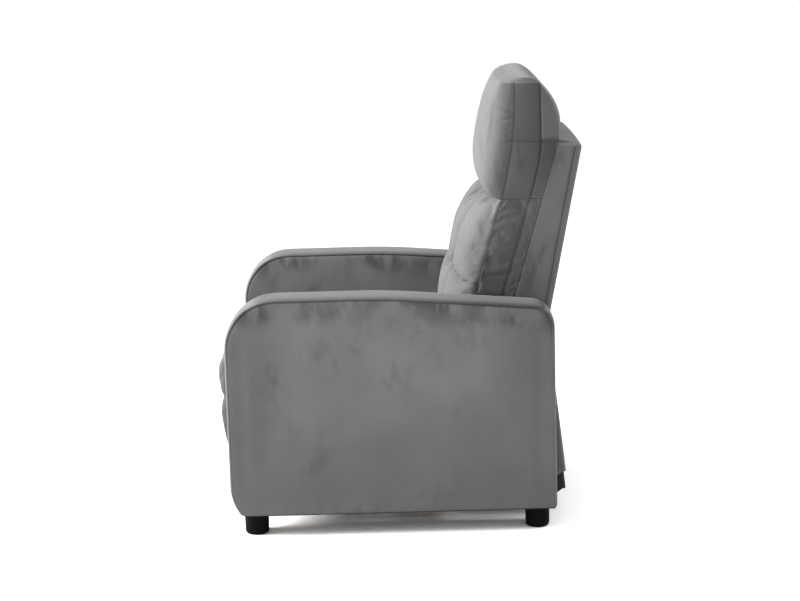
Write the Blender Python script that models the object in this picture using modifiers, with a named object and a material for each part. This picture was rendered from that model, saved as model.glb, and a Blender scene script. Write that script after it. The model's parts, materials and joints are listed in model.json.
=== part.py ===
"""Push-back recliner in grey velvet.

Two upholstered arms, joined by stretchers, carry a seat that slides forward and up on glides.
The back leans as the seat slides, and a pair of four-bar linkages folds the footrest out.

Metres, +Z up. The sitter faces -Y, so the sitter's left is +X. The origin is on the floor under
the middle of the chair. Side profiles are drawn as (y, z) points and extruded along X.
"""

import math

import bmesh
import bpy
from mathutils import Euler, Vector

# Fits
GAP = 0.0003  # between pieces that touch
PIN_CLEARANCE = 0.0003  # round a pivot pin
OPEN_CLEARANCE = 0.0033  # round a pin that closes a loop of links
DRIVE_CLEARANCE = 0.0047  # round the pin that the drive link works

# Arms
SEAT_WIDTH = 0.49  # between the inner faces of the arms
ARM_THICKNESS = 0.095
ARM_FRONT = -0.385  # front edge of the arm, without its crown
ARM_TOE_Z = 0.087  # where the front edge turns back towards the foot
ARM_TOE_SETBACK = 0.022  # how far back it has run at the bottom
ARM_TOE_RADIUS = 0.13
ARM_REAR = 0.346
ARM_TOP = 0.5405
ARM_REAR_DROP = 0.0285  # fall of the arm top towards the rear
ARM_CREST_Y = -0.12  # where the arm top starts to fall
ARM_FRONT_RADIUS = 0.125
ARM_CREST_RADIUS = 0.8
ARM_REAR_RADIUS = 0.048
ARM_CROWN = 0.008  # bulge of the band round the arm
ARM_PADDING = 0.014  # fabric and foam over the wood
PLYWOOD = 0.012
ARM_FRAME_BAR = 0.045
DUST_COVER = 0.0015

# Feet
FOOT_HEIGHT = 0.05
FOOT_RADIUS = 0.0285
FOOT_EDGE = 0.004
FOOT_FRONT_Y = -0.337
FOOT_REAR_Y = 0.305
FOOT_STUD_RADIUS = 0.005
FOOT_STUD_LENGTH = 0.03

# Stretchers
STRETCHER_Z = 0.0745
STRETCHER_THICKNESS = 0.025
STRETCHER_WIDTH = 0.08
TENON_WIDTH = 0.05
FRONT_STRETCHER_Y = -0.285
REAR_STRETCHER_Y = 0.1

# Linkage plates and pins
PLATE = 0.003
PLATE_PITCH = 0.005
PIN_RADIUS = 0.005
OPEN_PIN_RADIUS = 0.0035
DRIVE_PIN_RADIUS = 0.0026
RIVET_HEAD = 0.0012
RIVET_RIM = 0.0028  # head beyond the hole that it covers
LINK_RADIUS = 0.01
WELD_STUD_RADIUS = 0.003

# Pivots at rest, as (y, z)
SLIDE_TRAVEL = 0.12
SLIDE_RISE = math.radians(8)
REAR_LINK_PIVOT = (-0.195, 0.33)
REAR_LINK_LENGTH = 0.185
REAR_LINK_ANGLE = math.radians(-82)  # from straight ahead, up is positive
REAR_LINK_TAIL = 0.04
REAR_CONTROL_PIVOT = (-0.15, 0.295)
REAR_CONTROL_SHIFT = (0.0023, -0.0015)  # a far hole lies amid the path of the loop's pin
DRIVE_CRANK = 0.045  # on the rear control link, above its pivot
DRIVE_CRANK_ANGLE = math.radians(114)
FOOTREST_PIVOT = (-0.335, 0.345)
FOOTREST_PIVOT_SPACING = 0.036
FRONT_LINK_TAIL = 0.04
DRIVE_LINK_PIVOT = (-0.12, 0.12)
DRIVE_LINK_SHIFT = (0.0038, -0.0015)
BACK_PIVOT = (0.235, 0.36)
BACK_CRANK = 0.06
BACK_CRANK_ANGLE = math.radians(32)
BACK_LINK_PIVOT = (0.04, 0.175)
BACK_LINK_SHIFT = (-0.0019, -0.001)
GLIDE_REAR = (0.16, 0.3)
GLIDE_FRONT = (-0.06, 0.3)
GLIDE_RADIUS = 0.008
GLIDE_STUD_RADIUS = 0.004

# Base plate outline
BASE_PLATE_REAR = 0.185
BASE_PLATE_FRONT = -0.315
BASE_PLATE_BOTTOM = 0.1
BASE_PLATE_FRONT_TOP = 0.22
BASE_PLATE_RADIUS = 0.015
BASE_PLATE_RIM = 0.02  # metal above a glide slot
LIGHTENING_RADIUS = 0.028
LIGHTENING_FRONT = (-0.2, 0.2)
LIGHTENING_REAR = (0.1, 0.225)
WELD_STUD_EDGE = 0.017  # from the plate's edges to the studs
WELD_STUD_COUNT = 4

# Seat carriage
SEAT_FRAME_FRONT = -0.335
SEAT_FRAME_REAR = 0.165
SEAT_DECK_Z = 0.372  # underside of the seat plate flange
SEAT_WEB_BOTTOM = 0.278
SEAT_EAR_RADIUS = 0.018
RAIL_HEIGHT = 0.0367
RAIL_WIDTH = 0.032
FLANGE_INNER_INSET = 0.007  # strip of the side rail that is left for the webbing
BACK_LINK_ROOM = 0.015  # the flange and the cushion end this far ahead of the frame's rear
WEBBING = 0.002
STRAP_WIDTH = 0.05

# Corners of the cushions
CORNER_DRAW = 0.02  # share by which they draw in
CORNER_POWER = 8

# Seat cushion
SEAT_FRONT = -0.355
SEAT_FRONT_ROUND = 0.012  # how far the front edges draw back
SEAT_SIDE_HEIGHT = 0.428
SEAT_CROWN = 0.027
SEAT_SIDE_CLEARANCE = 0.0055
SEAT_TUFT_Y = -0.085

# Backrest
BACK_TILT = math.radians(16.4)
BACK_LINE_Y = 0.264  # where the cushions meet the shell, at BACK_LINE_Z
BACK_LINE_Z = 0.514
BACK_SIDE_CLEARANCE = 0.0105
SHELL_BOTTOM = 0.45
SHELL_TOP = 0.877
SHELL_REAR_BOTTOM = 0.341
SHELL_REAR_TOP = 0.4255  # before its corner is rounded
SHELL_TOP_DROP = 0.007
SHELL_WALL = 0.006
SHELL_RADIUS = 0.016
POST_WIDTH = 0.04
POST_DEPTH = 0.028
POST_BOTTOM = 0.39
POST_TOP = 0.852
BACK_RAIL_HEIGHT = 0.045
BACK_BRACKET_TOP = 0.53
BACK_BRACKET_RIM = 0.013  # metal round its pivots

# Lumbar cushion and headrest
LUMBAR_BOTTOM = 0.462
LUMBAR_TOP = 0.7455
FRONT_SEAM_Y = 0.235  # side seam at FRONT_SEAM_Z
FRONT_SEAM_Z = 0.73
FRONT_SEAM_BEND = 0.575  # how the side seam turns upright above FRONT_SEAM_Z, per metre
LUMBAR_CROWN = 0.072
HEADREST_TOP = 1.018
HEADREST_TOP_CROWN = 0.012
HEADREST_CROWN = 0.067
HEADREST_CREST_Z = 0.83
HEADREST_CREST_POWER = 3
HEADREST_TOP_POWER = 4
HEADREST_REAR_TAPER = 0.041
HEADREST_REAR_BULGE = 0.012

# Seams and tufts of the lumbar and seat cushions
SEAM_X = 0.09
SEAM_DEPTH = 0.014
SEAM_WIDTH = 0.013
CROSS_SEAM_DEPTH = 0.007
TUFT_DEPTH = 0.012
TUFT_WIDTH = 0.024
LUMBAR_TUFT_Z = 0.585

# Footrest
FOOTREST_BOARD_BACK = -0.358
FOOTREST_BOARD_BOTTOM = 0.11
FOOTREST_BOARD_TOP = 0.412
FOOTREST_BOARD_INSET = 0.02  # pad beyond the board at each side
FOOTREST_BRACKET_RADIUS = 0.012
FOOTREST_FLANGE_WIDTH = 0.045
FOOTREST_FLANGE_BOTTOM = 0.265
FOOTREST_FLANGE_TOP = 0.4
FOOTREST_FRONT = -0.4225
FOOTREST_SIDE_FRONT = -0.39
FOOTREST_BAND_FRONT = -0.401
FOOTREST_BOTTOM = 0.095
FOOTREST_TOP = 0.43
FOOTREST_SEAM_Z = 0.296
FOOTREST_BAND_Z = 0.165
FOOTREST_SIDE_CLEARANCE = 0.0075
FOOTREST_FULL_SHARE = 0.6  # how far up from the band the pad is full
FOOTREST_SEAM_DEPTH = 0.006
FOOTREST_BAND_DEPTH = 0.004

# Flap under the shell
FLAP_THICKNESS = 0.006
FLAP_BEND = (0.361, 0.264)
FLAP_HEM = (0.379, 0.1)
FLAP_SIDE_CLEARANCE = 0.0305
LINING_TOP = 0.15
LINING_BOTTOM = 0.058
LINING_THICKNESS = 0.0015

# Facets
ROUND_STEPS = 12
CORNER_STEPS = 7
FOOT_STEPS = 24
EDGE_CUTS = [-0.96, 0.96]
FIRM_EDGE_CUTS = [-0.97, -0.9, 0.9, 0.97]

ARM_INNER = SEAT_WIDTH / 2
ARM_OUTER = ARM_INNER + ARM_THICKNESS
ARM_MIDDLE = ARM_INNER + ARM_THICKNESS / 2
SIDES = (("left", 1), ("right", -1))
SIDEWAYS = (math.pi / 2, 0.0, math.pi / 2)  # turns a flat outline into the (y, z) plane

for old in list(bpy.data.objects):
    bpy.data.objects.remove(old)

PARTS = bpy.data.collections.new("push_back_recliner")
CUTTERS = bpy.data.collections.new("cutters")
for group in (PARTS, CUTTERS):
    bpy.context.scene.collection.children.link(group)


def material(name, colour, roughness, metallic=0.0):
    look = bpy.data.materials.new(name)
    look.use_nodes = True
    shader = look.node_tree.nodes["Principled BSDF"]
    shader.inputs["Base Color"].default_value = (*colour, 1.0)
    shader.inputs["Roughness"].default_value = roughness
    shader.inputs["Metallic"].default_value = metallic
    look.diffuse_color = (*colour, 1.0)
    return look


VELVET = material("grey velvet", (0.18, 0.18, 0.185), 0.85)
SHADED_VELVET = material("shell velvet", (0.12, 0.12, 0.125), 0.9)
LINING = material("black lining", (0.008, 0.008, 0.009), 0.9)
WOOD = material("pine and plywood", (0.5, 0.34, 0.19), 0.7)
STEEL = material("dark steel", (0.09, 0.09, 0.095), 0.4, 0.9)
PLASTIC = material("black plastic", (0.01, 0.01, 0.011), 0.45)
STRAP = material("elastic webbing", (0.03, 0.03, 0.035), 0.8)


# Outlines

def shifted(point, distance, angle):
    """The (y, z) point this far from another, at an angle from straight ahead."""
    return (point[0] - distance * math.cos(angle), point[1] + distance * math.sin(angle))


def circle(centre, radius, steps=ROUND_STEPS):
    turns = [2 * math.pi * step / steps for step in range(steps)]
    return [(centre[0] + radius * math.cos(t), centre[1] + radius * math.sin(t)) for t in turns]


def rounded(corners):
    """A closed outline through (across, up, radius) corners, each turned by an arc of its radius."""
    points = []
    for index, (across, up, radius) in enumerate(corners):
        corner = Vector((across, up))
        before = (Vector(corners[index - 1][:2]) - corner).normalized()
        after = (Vector(corners[(index + 1) % len(corners)][:2]) - corner).normalized()
        opening = before.angle(after)
        if radius <= 0 or math.pi - opening < 1e-3:
            points.append((across, up))
            continue
        reach = radius / math.tan(opening / 2)
        centre = corner + (before + after).normalized() * radius / math.sin(opening / 2)
        start = corner + before * reach - centre
        turn = start.angle_signed(corner + after * reach - centre)
        steps = max(2, round(CORNER_STEPS * abs(turn) / (math.pi / 2)))
        for step in range(steps + 1):
            angle = -turn * step / steps
            spoke = Vector((start.x * math.cos(angle) - start.y * math.sin(angle),
                            start.x * math.sin(angle) + start.y * math.cos(angle)))
            points.append(tuple(centre + spoke))
    return points


def hull(rounds):
    """The outline of a band stretched round circles, given as (centre, radius)."""
    points = set()
    for centre, radius in rounds:
        points.update(circle(centre, radius, 2 * ROUND_STEPS) if radius else [tuple(centre)])
    ordered = sorted(points)
    outline = []
    for row in (ordered, ordered[::-1]):
        side = []
        for point in row:
            while len(side) > 1:
                first = Vector(side[-1]) - Vector(side[-2])
                second = Vector(point) - Vector(side[-1])
                if first.cross(second) > 1e-9:
                    break
                side.pop()
            side.append(point)
        outline += side[:-1]
    return outline


def rectangle(low, high):
    return [low, (high[0], low[1]), high, (low[0], high[1])]


# Solids

def place(name, data, look, home=PARTS):
    item = bpy.data.objects.new(name, data)
    home.objects.link(item)
    if look:
        data.materials.append(look)
    return item


def flat_curve(name, loops, thickness):
    """A filled outline, with any further loops as holes, extruded to a thickness."""
    curve = bpy.data.curves.new(name, "CURVE")
    curve.dimensions = "2D"
    curve.fill_mode = "BOTH"
    curve.extrude = thickness / 2
    for loop in loops:
        spline = curve.splines.new("POLY")
        spline.points.add(len(loop) - 1)
        for point, (across, up) in zip(spline.points, loop):
            point.co = (across, up, 0.0, 1.0)
        spline.use_cyclic_u = True
    return curve


def side_plate(name, loops, x, thickness, look):
    """A plate drawn in the side view."""
    item = place(name, flat_curve(name, loops, thickness), look)
    item.rotation_euler = SIDEWAYS
    item.location.x = x
    return item


def floor_plate(name, loops, z, thickness, look):
    """A plate drawn in the top view, with z at its middle."""
    item = place(name, flat_curve(name, loops, thickness), look)
    item.location.z = z
    return item


def as_mesh(item):
    """Makes a mesh of an outline, with its caps welded on, so that it can be cut or joined."""
    bpy.context.view_layer.update()
    name, home, where = item.name, item.users_collection[0], item.matrix_world.copy()
    mesh = bpy.data.meshes.new_from_object(item.evaluated_get(bpy.context.evaluated_depsgraph_get()))
    weld = bmesh.new()
    weld.from_mesh(mesh)
    bmesh.ops.remove_doubles(weld, verts=weld.verts, dist=1e-6)
    bmesh.ops.recalc_face_normals(weld, faces=weld.faces)
    weld.to_mesh(mesh)
    weld.free()
    bpy.data.objects.remove(item)
    solid = place(name, mesh, None, home)
    solid.matrix_world = where
    return solid


def tool(item):
    """Puts a cutter or a piece to be joined aside, out of the model."""
    for home in item.users_collection:
        home.objects.unlink(item)
    CUTTERS.objects.link(item)
    item.hide_render = True
    item.display_type = "WIRE"
    return item


def combine(item, others, operation):
    for other in others:
        change = item.modifiers.new(other.name, "BOOLEAN")
        change.operation = operation
        change.solver = "EXACT"
        change.object = tool(other)


def join(item, others):
    combine(item, others, "UNION")


def cut(item, others):
    combine(item, others, "DIFFERENCE")


def box(name, low, high, look=None):
    mesh = bmesh.new()
    bmesh.ops.create_cube(mesh, size=1.0)
    size = Vector(high) - Vector(low)
    bmesh.ops.scale(mesh, vec=size, verts=mesh.verts)
    data = bpy.data.meshes.new(name)
    mesh.to_mesh(data)
    mesh.free()
    item = place(name, data, look)
    item.location = (Vector(low) + Vector(high)) / 2
    return item


def mirrored_box(name, side, low, high, look=None):
    """A box given on the left side, placed on either side."""
    spread = sorted((side * low[0], side * high[0]))
    return box(name, (spread[0], *low[1:]), (spread[1], *high[1:]), look)


def rod(name, centre, x_from, x_to, radius):
    """A cylinder along X at a (y, z) point."""
    mesh = bmesh.new()
    bmesh.ops.create_cone(mesh, cap_ends=True, segments=ROUND_STEPS, radius1=radius, radius2=radius,
                          depth=abs(x_to - x_from))
    data = bpy.data.meshes.new(name)
    mesh.to_mesh(data)
    mesh.free()
    item = place(name, data, None)
    item.rotation_euler.y = math.pi / 2
    item.location = ((x_from + x_to) / 2, *centre)
    return item


def turned(name, profile, look, steps, closed=False):
    """A shape turned about Z from (radius, height) points that run down its outer side."""
    count = len(profile)
    edges = [(step, (step + 1) % count) for step in range(count if closed else count - 1)]
    data = bpy.data.meshes.new(name)
    data.from_pydata([(radius, 0.0, height) for radius, height in profile], edges, [])
    item = place(name, data, look)
    spin = item.modifiers.new("turn", "SCREW")
    spin.steps = spin.render_steps = steps
    spin.use_merge_vertices = True
    spin.merge_threshold = 1e-6
    return item


def rivet(name, centre, x_from, x_face, radius, head_radius):
    """A pin along X that starts inside its plate and has its head just past the face at x_face."""
    reach = abs(x_face - x_from) + GAP
    profile = [(0.0, reach + RIVET_HEAD), (head_radius, reach + RIVET_HEAD), (head_radius, reach),
               (radius, reach), (radius, 0.0), (0.0, 0.0)]
    item = turned(name, profile, None, ROUND_STEPS)
    item.rotation_euler.y = math.copysign(math.pi / 2, x_face - x_from)
    item.location = (x_from, *centre)
    return item


def empty(name, where):
    item = bpy.data.objects.new(name, None)
    item.empty_display_size = 0.05
    item.location = where
    PARTS.objects.link(item)
    return item


def carry(holder, items):
    """Hangs pieces on the empty that stands on their joint's axis."""
    bpy.context.view_layer.update()
    for item in items:
        item.parent = holder
        item.matrix_parent_inverse = holder.matrix_world.inverted()


# Soft forms

def even_cuts(count, extras=()):
    """Cut positions between -1 and 1, evenly spaced, with more where a seam runs."""
    even = [2 * step / count - 1 for step in range(1, count)]
    return sorted(even + list(extras))


def pillow(name, cuts, shape, look):
    """A block cut along each axis, whose points are moved by a formula."""
    mesh = bmesh.new()
    bmesh.ops.create_cube(mesh, size=2.0)
    for axis, places in enumerate(cuts):
        normal = Vector([float(axis == other) for other in range(3)])
        for where in places:
            everything = mesh.verts[:] + mesh.edges[:] + mesh.faces[:]
            bmesh.ops.bisect_plane(mesh, geom=everything, plane_co=normal * where, plane_no=normal,
                                   dist=1e-6)
    for vert in mesh.verts:
        vert.co = shape(*vert.co)
    bmesh.ops.recalc_face_normals(mesh, faces=mesh.faces)
    data = bpy.data.meshes.new(name)
    mesh.to_mesh(data)
    mesh.free()
    data.shade_smooth()
    return place(name, data, look)


def dome(v, power=4):
    """1 in the middle, falling to 0 at -1 and 1 like the side of a pillow."""
    return math.sqrt(max(0.0, 1 - abs(v) ** power))


def groove(distance, width):
    return math.exp(-((distance / width) ** 2))


def tufting(x, along, tuft_at):
    """How deep the two seams, the cross seam and its tufts pull the cover in."""
    near_seam = min(abs(x - SEAM_X), abs(x + SEAM_X))
    depth = SEAM_DEPTH * groove(near_seam, SEAM_WIDTH)
    depth = max(depth, CROSS_SEAM_DEPTH * groove(along - tuft_at, SEAM_WIDTH))
    return depth + TUFT_DEPTH * groove(math.hypot(near_seam, along - tuft_at), TUFT_WIDTH)


def seam_cuts(half_width):
    beside = [SEAM_X - SEAM_WIDTH, SEAM_X, SEAM_X + SEAM_WIDTH]
    return [sign * x / half_width for sign in (-1, 1) for x in beside]


# Places that follow from the sizes

def layer(index):
    """Middle of a linkage plate's layer, counted from the arm inwards."""
    return ARM_INNER - GAP - PLATE / 2 - index * PLATE_PITCH


def outer_face(index):
    return layer(index) + PLATE / 2


def inner_face(index):
    return layer(index) - PLATE / 2


LAYER_BASE, LAYER_SEAT, LAYER_DRIVE, LAYER_REAR, LAYER_FRONT, LAYER_BRACKET, LAYER_CONTROL = range(7)
SLIDE = shifted((0.0, 0.0), SLIDE_TRAVEL, SLIDE_RISE)
KNEE = shifted(REAR_LINK_PIVOT, REAR_LINK_LENGTH, REAR_LINK_ANGLE)
REAR_TAIL = shifted(KNEE, REAR_LINK_TAIL, REAR_LINK_ANGLE)
CRANK_PIN = shifted(REAR_CONTROL_PIVOT, DRIVE_CRANK, DRIVE_CRANK_ANGLE)
BACK_LINK_TOP = shifted(BACK_PIVOT, BACK_CRANK, BACK_CRANK_ANGLE)
FRONT_LINK_ANGLE = math.atan2(FOOTREST_PIVOT[1] - KNEE[1], KNEE[0] - FOOTREST_PIVOT[0])
FRONT_TAIL = shifted(KNEE, -FRONT_LINK_TAIL, FRONT_LINK_ANGLE)
CONTROL_LOOP = (FRONT_TAIL[0] + REAR_CONTROL_SHIFT[0], FRONT_TAIL[1] + REAR_CONTROL_SHIFT[1])
DRIVE_LOOP = (CRANK_PIN[0] + DRIVE_LINK_SHIFT[0], CRANK_PIN[1] + DRIVE_LINK_SHIFT[1])
BACK_LOOP = (BACK_LINK_TOP[0] + BACK_LINK_SHIFT[0], BACK_LINK_TOP[1] + BACK_LINK_SHIFT[1])
FOOTREST_CONTROL = (FOOTREST_PIVOT[0], FOOTREST_PIVOT[1] - FOOTREST_PIVOT_SPACING)
PIN_HOLE = PIN_RADIUS + PIN_CLEARANCE
OPEN_HOLE = OPEN_PIN_RADIUS + OPEN_CLEARANCE
DRIVE_HOLE = DRIVE_PIN_RADIUS + DRIVE_CLEARANCE
RAIL_OUTER = inner_face(LAYER_CONTROL) - (PLATE_PITCH - PLATE)
RAIL_INNER = RAIL_OUTER - RAIL_WIDTH
DECK_TOP = SEAT_DECK_Z + PLATE
POST_OUTER = inner_face(LAYER_BRACKET) - GAP
PANEL_BOTTOM = FOOT_HEIGHT + DUST_COVER + 2 * GAP
INNER_PANEL_X = ARM_INNER + ARM_PADDING + GAP + PLYWOOD / 2
OUTER_PANEL_X = ARM_OUTER - ARM_PADDING - GAP - PLYWOOD / 2
TENON_END = INNER_PANEL_X + PLYWOOD / 2
FLAP_HINGE = (SHELL_REAR_BOTTOM - SHELL_WALL / 2, SHELL_BOTTOM - GAP - FLAP_THICKNESS / 2)
LEAN = Euler((-BACK_TILT, 0.0, 0.0))


def back_line(z):
    """Where the cushions meet the shell."""
    return BACK_LINE_Y + math.tan(BACK_TILT) * (z - BACK_LINE_Z)


def front_seam(z):
    """Side seam of the lumbar cushion and the headrest, straight at first and then more upright."""
    rise = z - FRONT_SEAM_Z
    return FRONT_SEAM_Y + math.tan(BACK_TILT) * rise - FRONT_SEAM_BEND * max(0.0, rise) ** 2


# Arms and base

def arm_corners(inset, bottom):
    """The arm's outline, moved in and cut off at a height; a cut near the toe leaves the toe out."""
    setback = ARM_TOE_SETBACK * (ARM_TOE_Z - bottom) / (ARM_TOE_Z - FOOT_HEIGHT)
    toe = [(ARM_FRONT + setback + inset, bottom, 0.0), (ARM_FRONT + inset, ARM_TOE_Z, ARM_TOE_RADIUS - inset)]
    if ARM_TOE_Z - bottom < ARM_FRAME_BAR / 2:
        toe = [(ARM_FRONT + inset, bottom, 0.0)]
    return [
        *toe,
        (ARM_FRONT + inset, ARM_TOP - inset, ARM_FRONT_RADIUS - inset),
        (ARM_CREST_Y, ARM_TOP - inset, ARM_CREST_RADIUS),
        (ARM_REAR - inset, ARM_TOP - ARM_REAR_DROP - inset, ARM_REAR_RADIUS - inset),
        (ARM_REAR - inset, bottom, 0.0),
    ]


STRETCHERS = (("front_stretcher", FRONT_STRETCHER_Y), ("rear_stretcher", REAR_STRETCHER_Y))
WELD_STUD_ROW = BASE_PLATE_BOTTOM + WELD_STUD_EDGE
WELD_STUD_PITCH = (BASE_PLATE_REAR - BASE_PLATE_FRONT - 2 * WELD_STUD_EDGE) / (WELD_STUD_COUNT - 1)
WELD_STUDS = [(BASE_PLATE_FRONT + WELD_STUD_EDGE + index * WELD_STUD_PITCH, WELD_STUD_ROW)
              for index in range(WELD_STUD_COUNT)]


def tenon_window(y, clearance):
    half = (TENON_WIDTH / 2 + clearance, STRETCHER_THICKNESS / 2 + clearance)
    return rectangle((y - half[0], STRETCHER_Z - half[1]), (y + half[0], STRETCHER_Z + half[1]))


def arm_cover(name, side):
    """The padded cover: a crowned band between two flat faces, hollow and open at the bottom."""
    trim = 2 * ARM_CROWN
    outline = rounded(arm_corners(0.0, FOOT_HEIGHT - trim))
    cover = side_plate(name, [outline], side * ARM_MIDDLE, ARM_THICKNESS - 2 * ARM_CROWN, VELVET)
    cover.data.bevel_depth = ARM_CROWN
    cover.data.bevel_resolution = 2
    cover = as_mesh(cover)
    below = mirrored_box(name + "_trim", side, (ARM_INNER - trim, 2 * ARM_FRONT, -trim),
                         (ARM_OUTER + trim, 2 * ARM_REAR, FOOT_HEIGHT))
    hollow = rounded(arm_corners(ARM_PADDING, FOOT_HEIGHT - 2 * trim))
    cavity = as_mesh(side_plate(name + "_cavity", [hollow], side * ARM_MIDDLE,
                                ARM_THICKNESS - 2 * ARM_PADDING, None))
    openings = [rod(f"{name}_stud_hole_{index}", stud, side * (ARM_INNER - ARM_PADDING),
                    side * (ARM_INNER + 2 * ARM_PADDING), WELD_STUD_RADIUS + GAP)
                for index, stud in enumerate(WELD_STUDS)]
    for stretcher, y in STRETCHERS:
        low, _, high, _ = tenon_window(y, GAP)
        openings.append(mirrored_box(f"{name}_{stretcher}_hole", side, (ARM_INNER - ARM_PADDING, *low),
                                     (ARM_INNER + 2 * ARM_PADDING, *high)))
    cut(cover, [below, cavity, *openings])
    return cover


def arm_frame(name, side):
    """The ring of battens between the two plywood panels, bored for the studs of the feet."""
    width = OUTER_PANEL_X - INNER_PANEL_X - PLYWOOD - 2 * GAP
    edge = ARM_PADDING + GAP
    loops = [rounded(arm_corners(edge, PANEL_BOTTOM)),
             rounded(arm_corners(edge + ARM_FRAME_BAR, PANEL_BOTTOM + ARM_FRAME_BAR))]
    frame = as_mesh(side_plate(name, loops, side * ARM_MIDDLE, width, WOOD))
    radius = FOOT_STUD_RADIUS + GAP
    top = FOOT_HEIGHT + FOOT_STUD_LENGTH + GAP
    bores = []
    for end, y in (("front", FOOT_FRONT_Y), ("rear", FOOT_REAR_Y)):
        profile = [(0.0, top), (radius, top), (radius, FOOT_HEIGHT - GAP), (0.0, FOOT_HEIGHT - GAP)]
        bore = turned(f"{name}_{end}_bore", profile, None, ROUND_STEPS)
        bore.location = (side * ARM_MIDDLE, y, 0.0)
        bores.append(bore)
    cut(frame, bores)
    return frame


def arm(word, side):
    edge = ARM_PADDING + GAP
    panel = rounded(arm_corners(edge, PANEL_BOTTOM))
    holes = [circle(stud, WELD_STUD_RADIUS + GAP) for stud in WELD_STUDS]
    holes += [tenon_window(y, GAP) for _, y in STRETCHERS]
    cover_low = (ARM_INNER + edge, ARM_FRONT + ARM_TOE_SETBACK + edge)
    cover_high = (ARM_OUTER - edge, ARM_REAR - edge)
    spread = sorted((side * cover_low[0], side * cover_high[0]))
    stud_holes = [circle((side * ARM_MIDDLE, y), FOOT_STUD_RADIUS + GAP)
                  for y in (FOOT_FRONT_Y, FOOT_REAR_Y)]
    dust = rectangle((spread[0], cover_low[1]), (spread[1], cover_high[1]))
    return [
        arm_cover(word + "_arm_cover", side),
        side_plate(word + "_arm_inner_panel", [panel, *holes], side * INNER_PANEL_X, PLYWOOD, WOOD),
        side_plate(word + "_arm_outer_panel", [panel], side * OUTER_PANEL_X, PLYWOOD, WOOD),
        arm_frame(word + "_arm_frame", side),
        floor_plate(word + "_arm_dust_cover", [dust, *stud_holes], FOOT_HEIGHT + GAP + DUST_COVER / 2,
                    DUST_COVER, LINING),
    ]


def foot(name, x, y):
    """A round foot with its stud, turned in one piece."""
    top = FOOT_HEIGHT + FOOT_STUD_LENGTH
    edge = [(FOOT_RADIUS - FOOT_EDGE + FOOT_EDGE * math.cos(math.radians(angle)),
             FOOT_EDGE - FOOT_EDGE * math.sin(math.radians(angle))) for angle in (0, 30, 60, 90)]
    profile = [(0.0, top), (FOOT_STUD_RADIUS, top), (FOOT_STUD_RADIUS, FOOT_HEIGHT),
               (FOOT_RADIUS, FOOT_HEIGHT), *edge, (0.0, 0.0)]
    item = turned(name, profile, PLASTIC, FOOT_STEPS)
    item.location = (x, y, 0.0)
    return item


def stretcher(name, y):
    """A board between the arms, with a tenon at each end through the arm's inner panel."""
    body, tenon = STRETCHER_WIDTH / 2, TENON_WIDTH / 2
    shoulder = ARM_INNER - GAP
    right = [(shoulder, y - body), (shoulder, y - tenon), (TENON_END, y - tenon),
             (TENON_END, y + tenon), (shoulder, y + tenon), (shoulder, y + body)]
    left = [(-x, across) for x, across in reversed(right)]
    return floor_plate(name, [right + left], STRETCHER_Z, STRETCHER_THICKNESS, WOOD)


def glide_slot(start):
    """The slot that a glide runs in, along the slide."""
    end = (start[0] + SLIDE[0], start[1] + SLIDE[1])
    return hull([(start, GLIDE_RADIUS + GAP), (end, GLIDE_RADIUS + GAP)])


def base_plate(name, side):
    front_top = (GLIDE_FRONT[0] + SLIDE[0] - GLIDE_RADIUS - BASE_PLATE_RIM, GLIDE_FRONT[1] + SLIDE[1])
    radius = BASE_PLATE_RADIUS
    outline = rounded([
        (BASE_PLATE_REAR, BASE_PLATE_BOTTOM, radius),
        (BASE_PLATE_REAR, GLIDE_REAR[1] + GLIDE_RADIUS + BASE_PLATE_RIM, radius),
        (front_top[0], front_top[1] + GLIDE_RADIUS + BASE_PLATE_RIM, radius),
        (BASE_PLATE_FRONT, BASE_PLATE_FRONT_TOP, radius),
        (BASE_PLATE_FRONT, BASE_PLATE_BOTTOM, radius),
    ])
    window = hull([(LIGHTENING_FRONT, LIGHTENING_RADIUS), (LIGHTENING_REAR, LIGHTENING_RADIUS)])
    loops = [outline, glide_slot(GLIDE_REAR), glide_slot(GLIDE_FRONT), window]
    plate = as_mesh(side_plate(name, loops, side * layer(LAYER_BASE), PLATE, STEEL))
    added = [rivet(f"{name}_pin_{index}", pivot, side * layer(LAYER_BASE), side * inner_face(LAYER_DRIVE),
                   PIN_RADIUS, PIN_HOLE + RIVET_RIM)
             for index, pivot in enumerate((DRIVE_LINK_PIVOT, BACK_LINK_PIVOT))]
    added += [rod(f"{name}_stud_{index}", stud, side * layer(LAYER_BASE), side * TENON_END,
                  WELD_STUD_RADIUS) for index, stud in enumerate(WELD_STUDS)]
    join(plate, added)
    return plate


# Seat carriage

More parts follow.
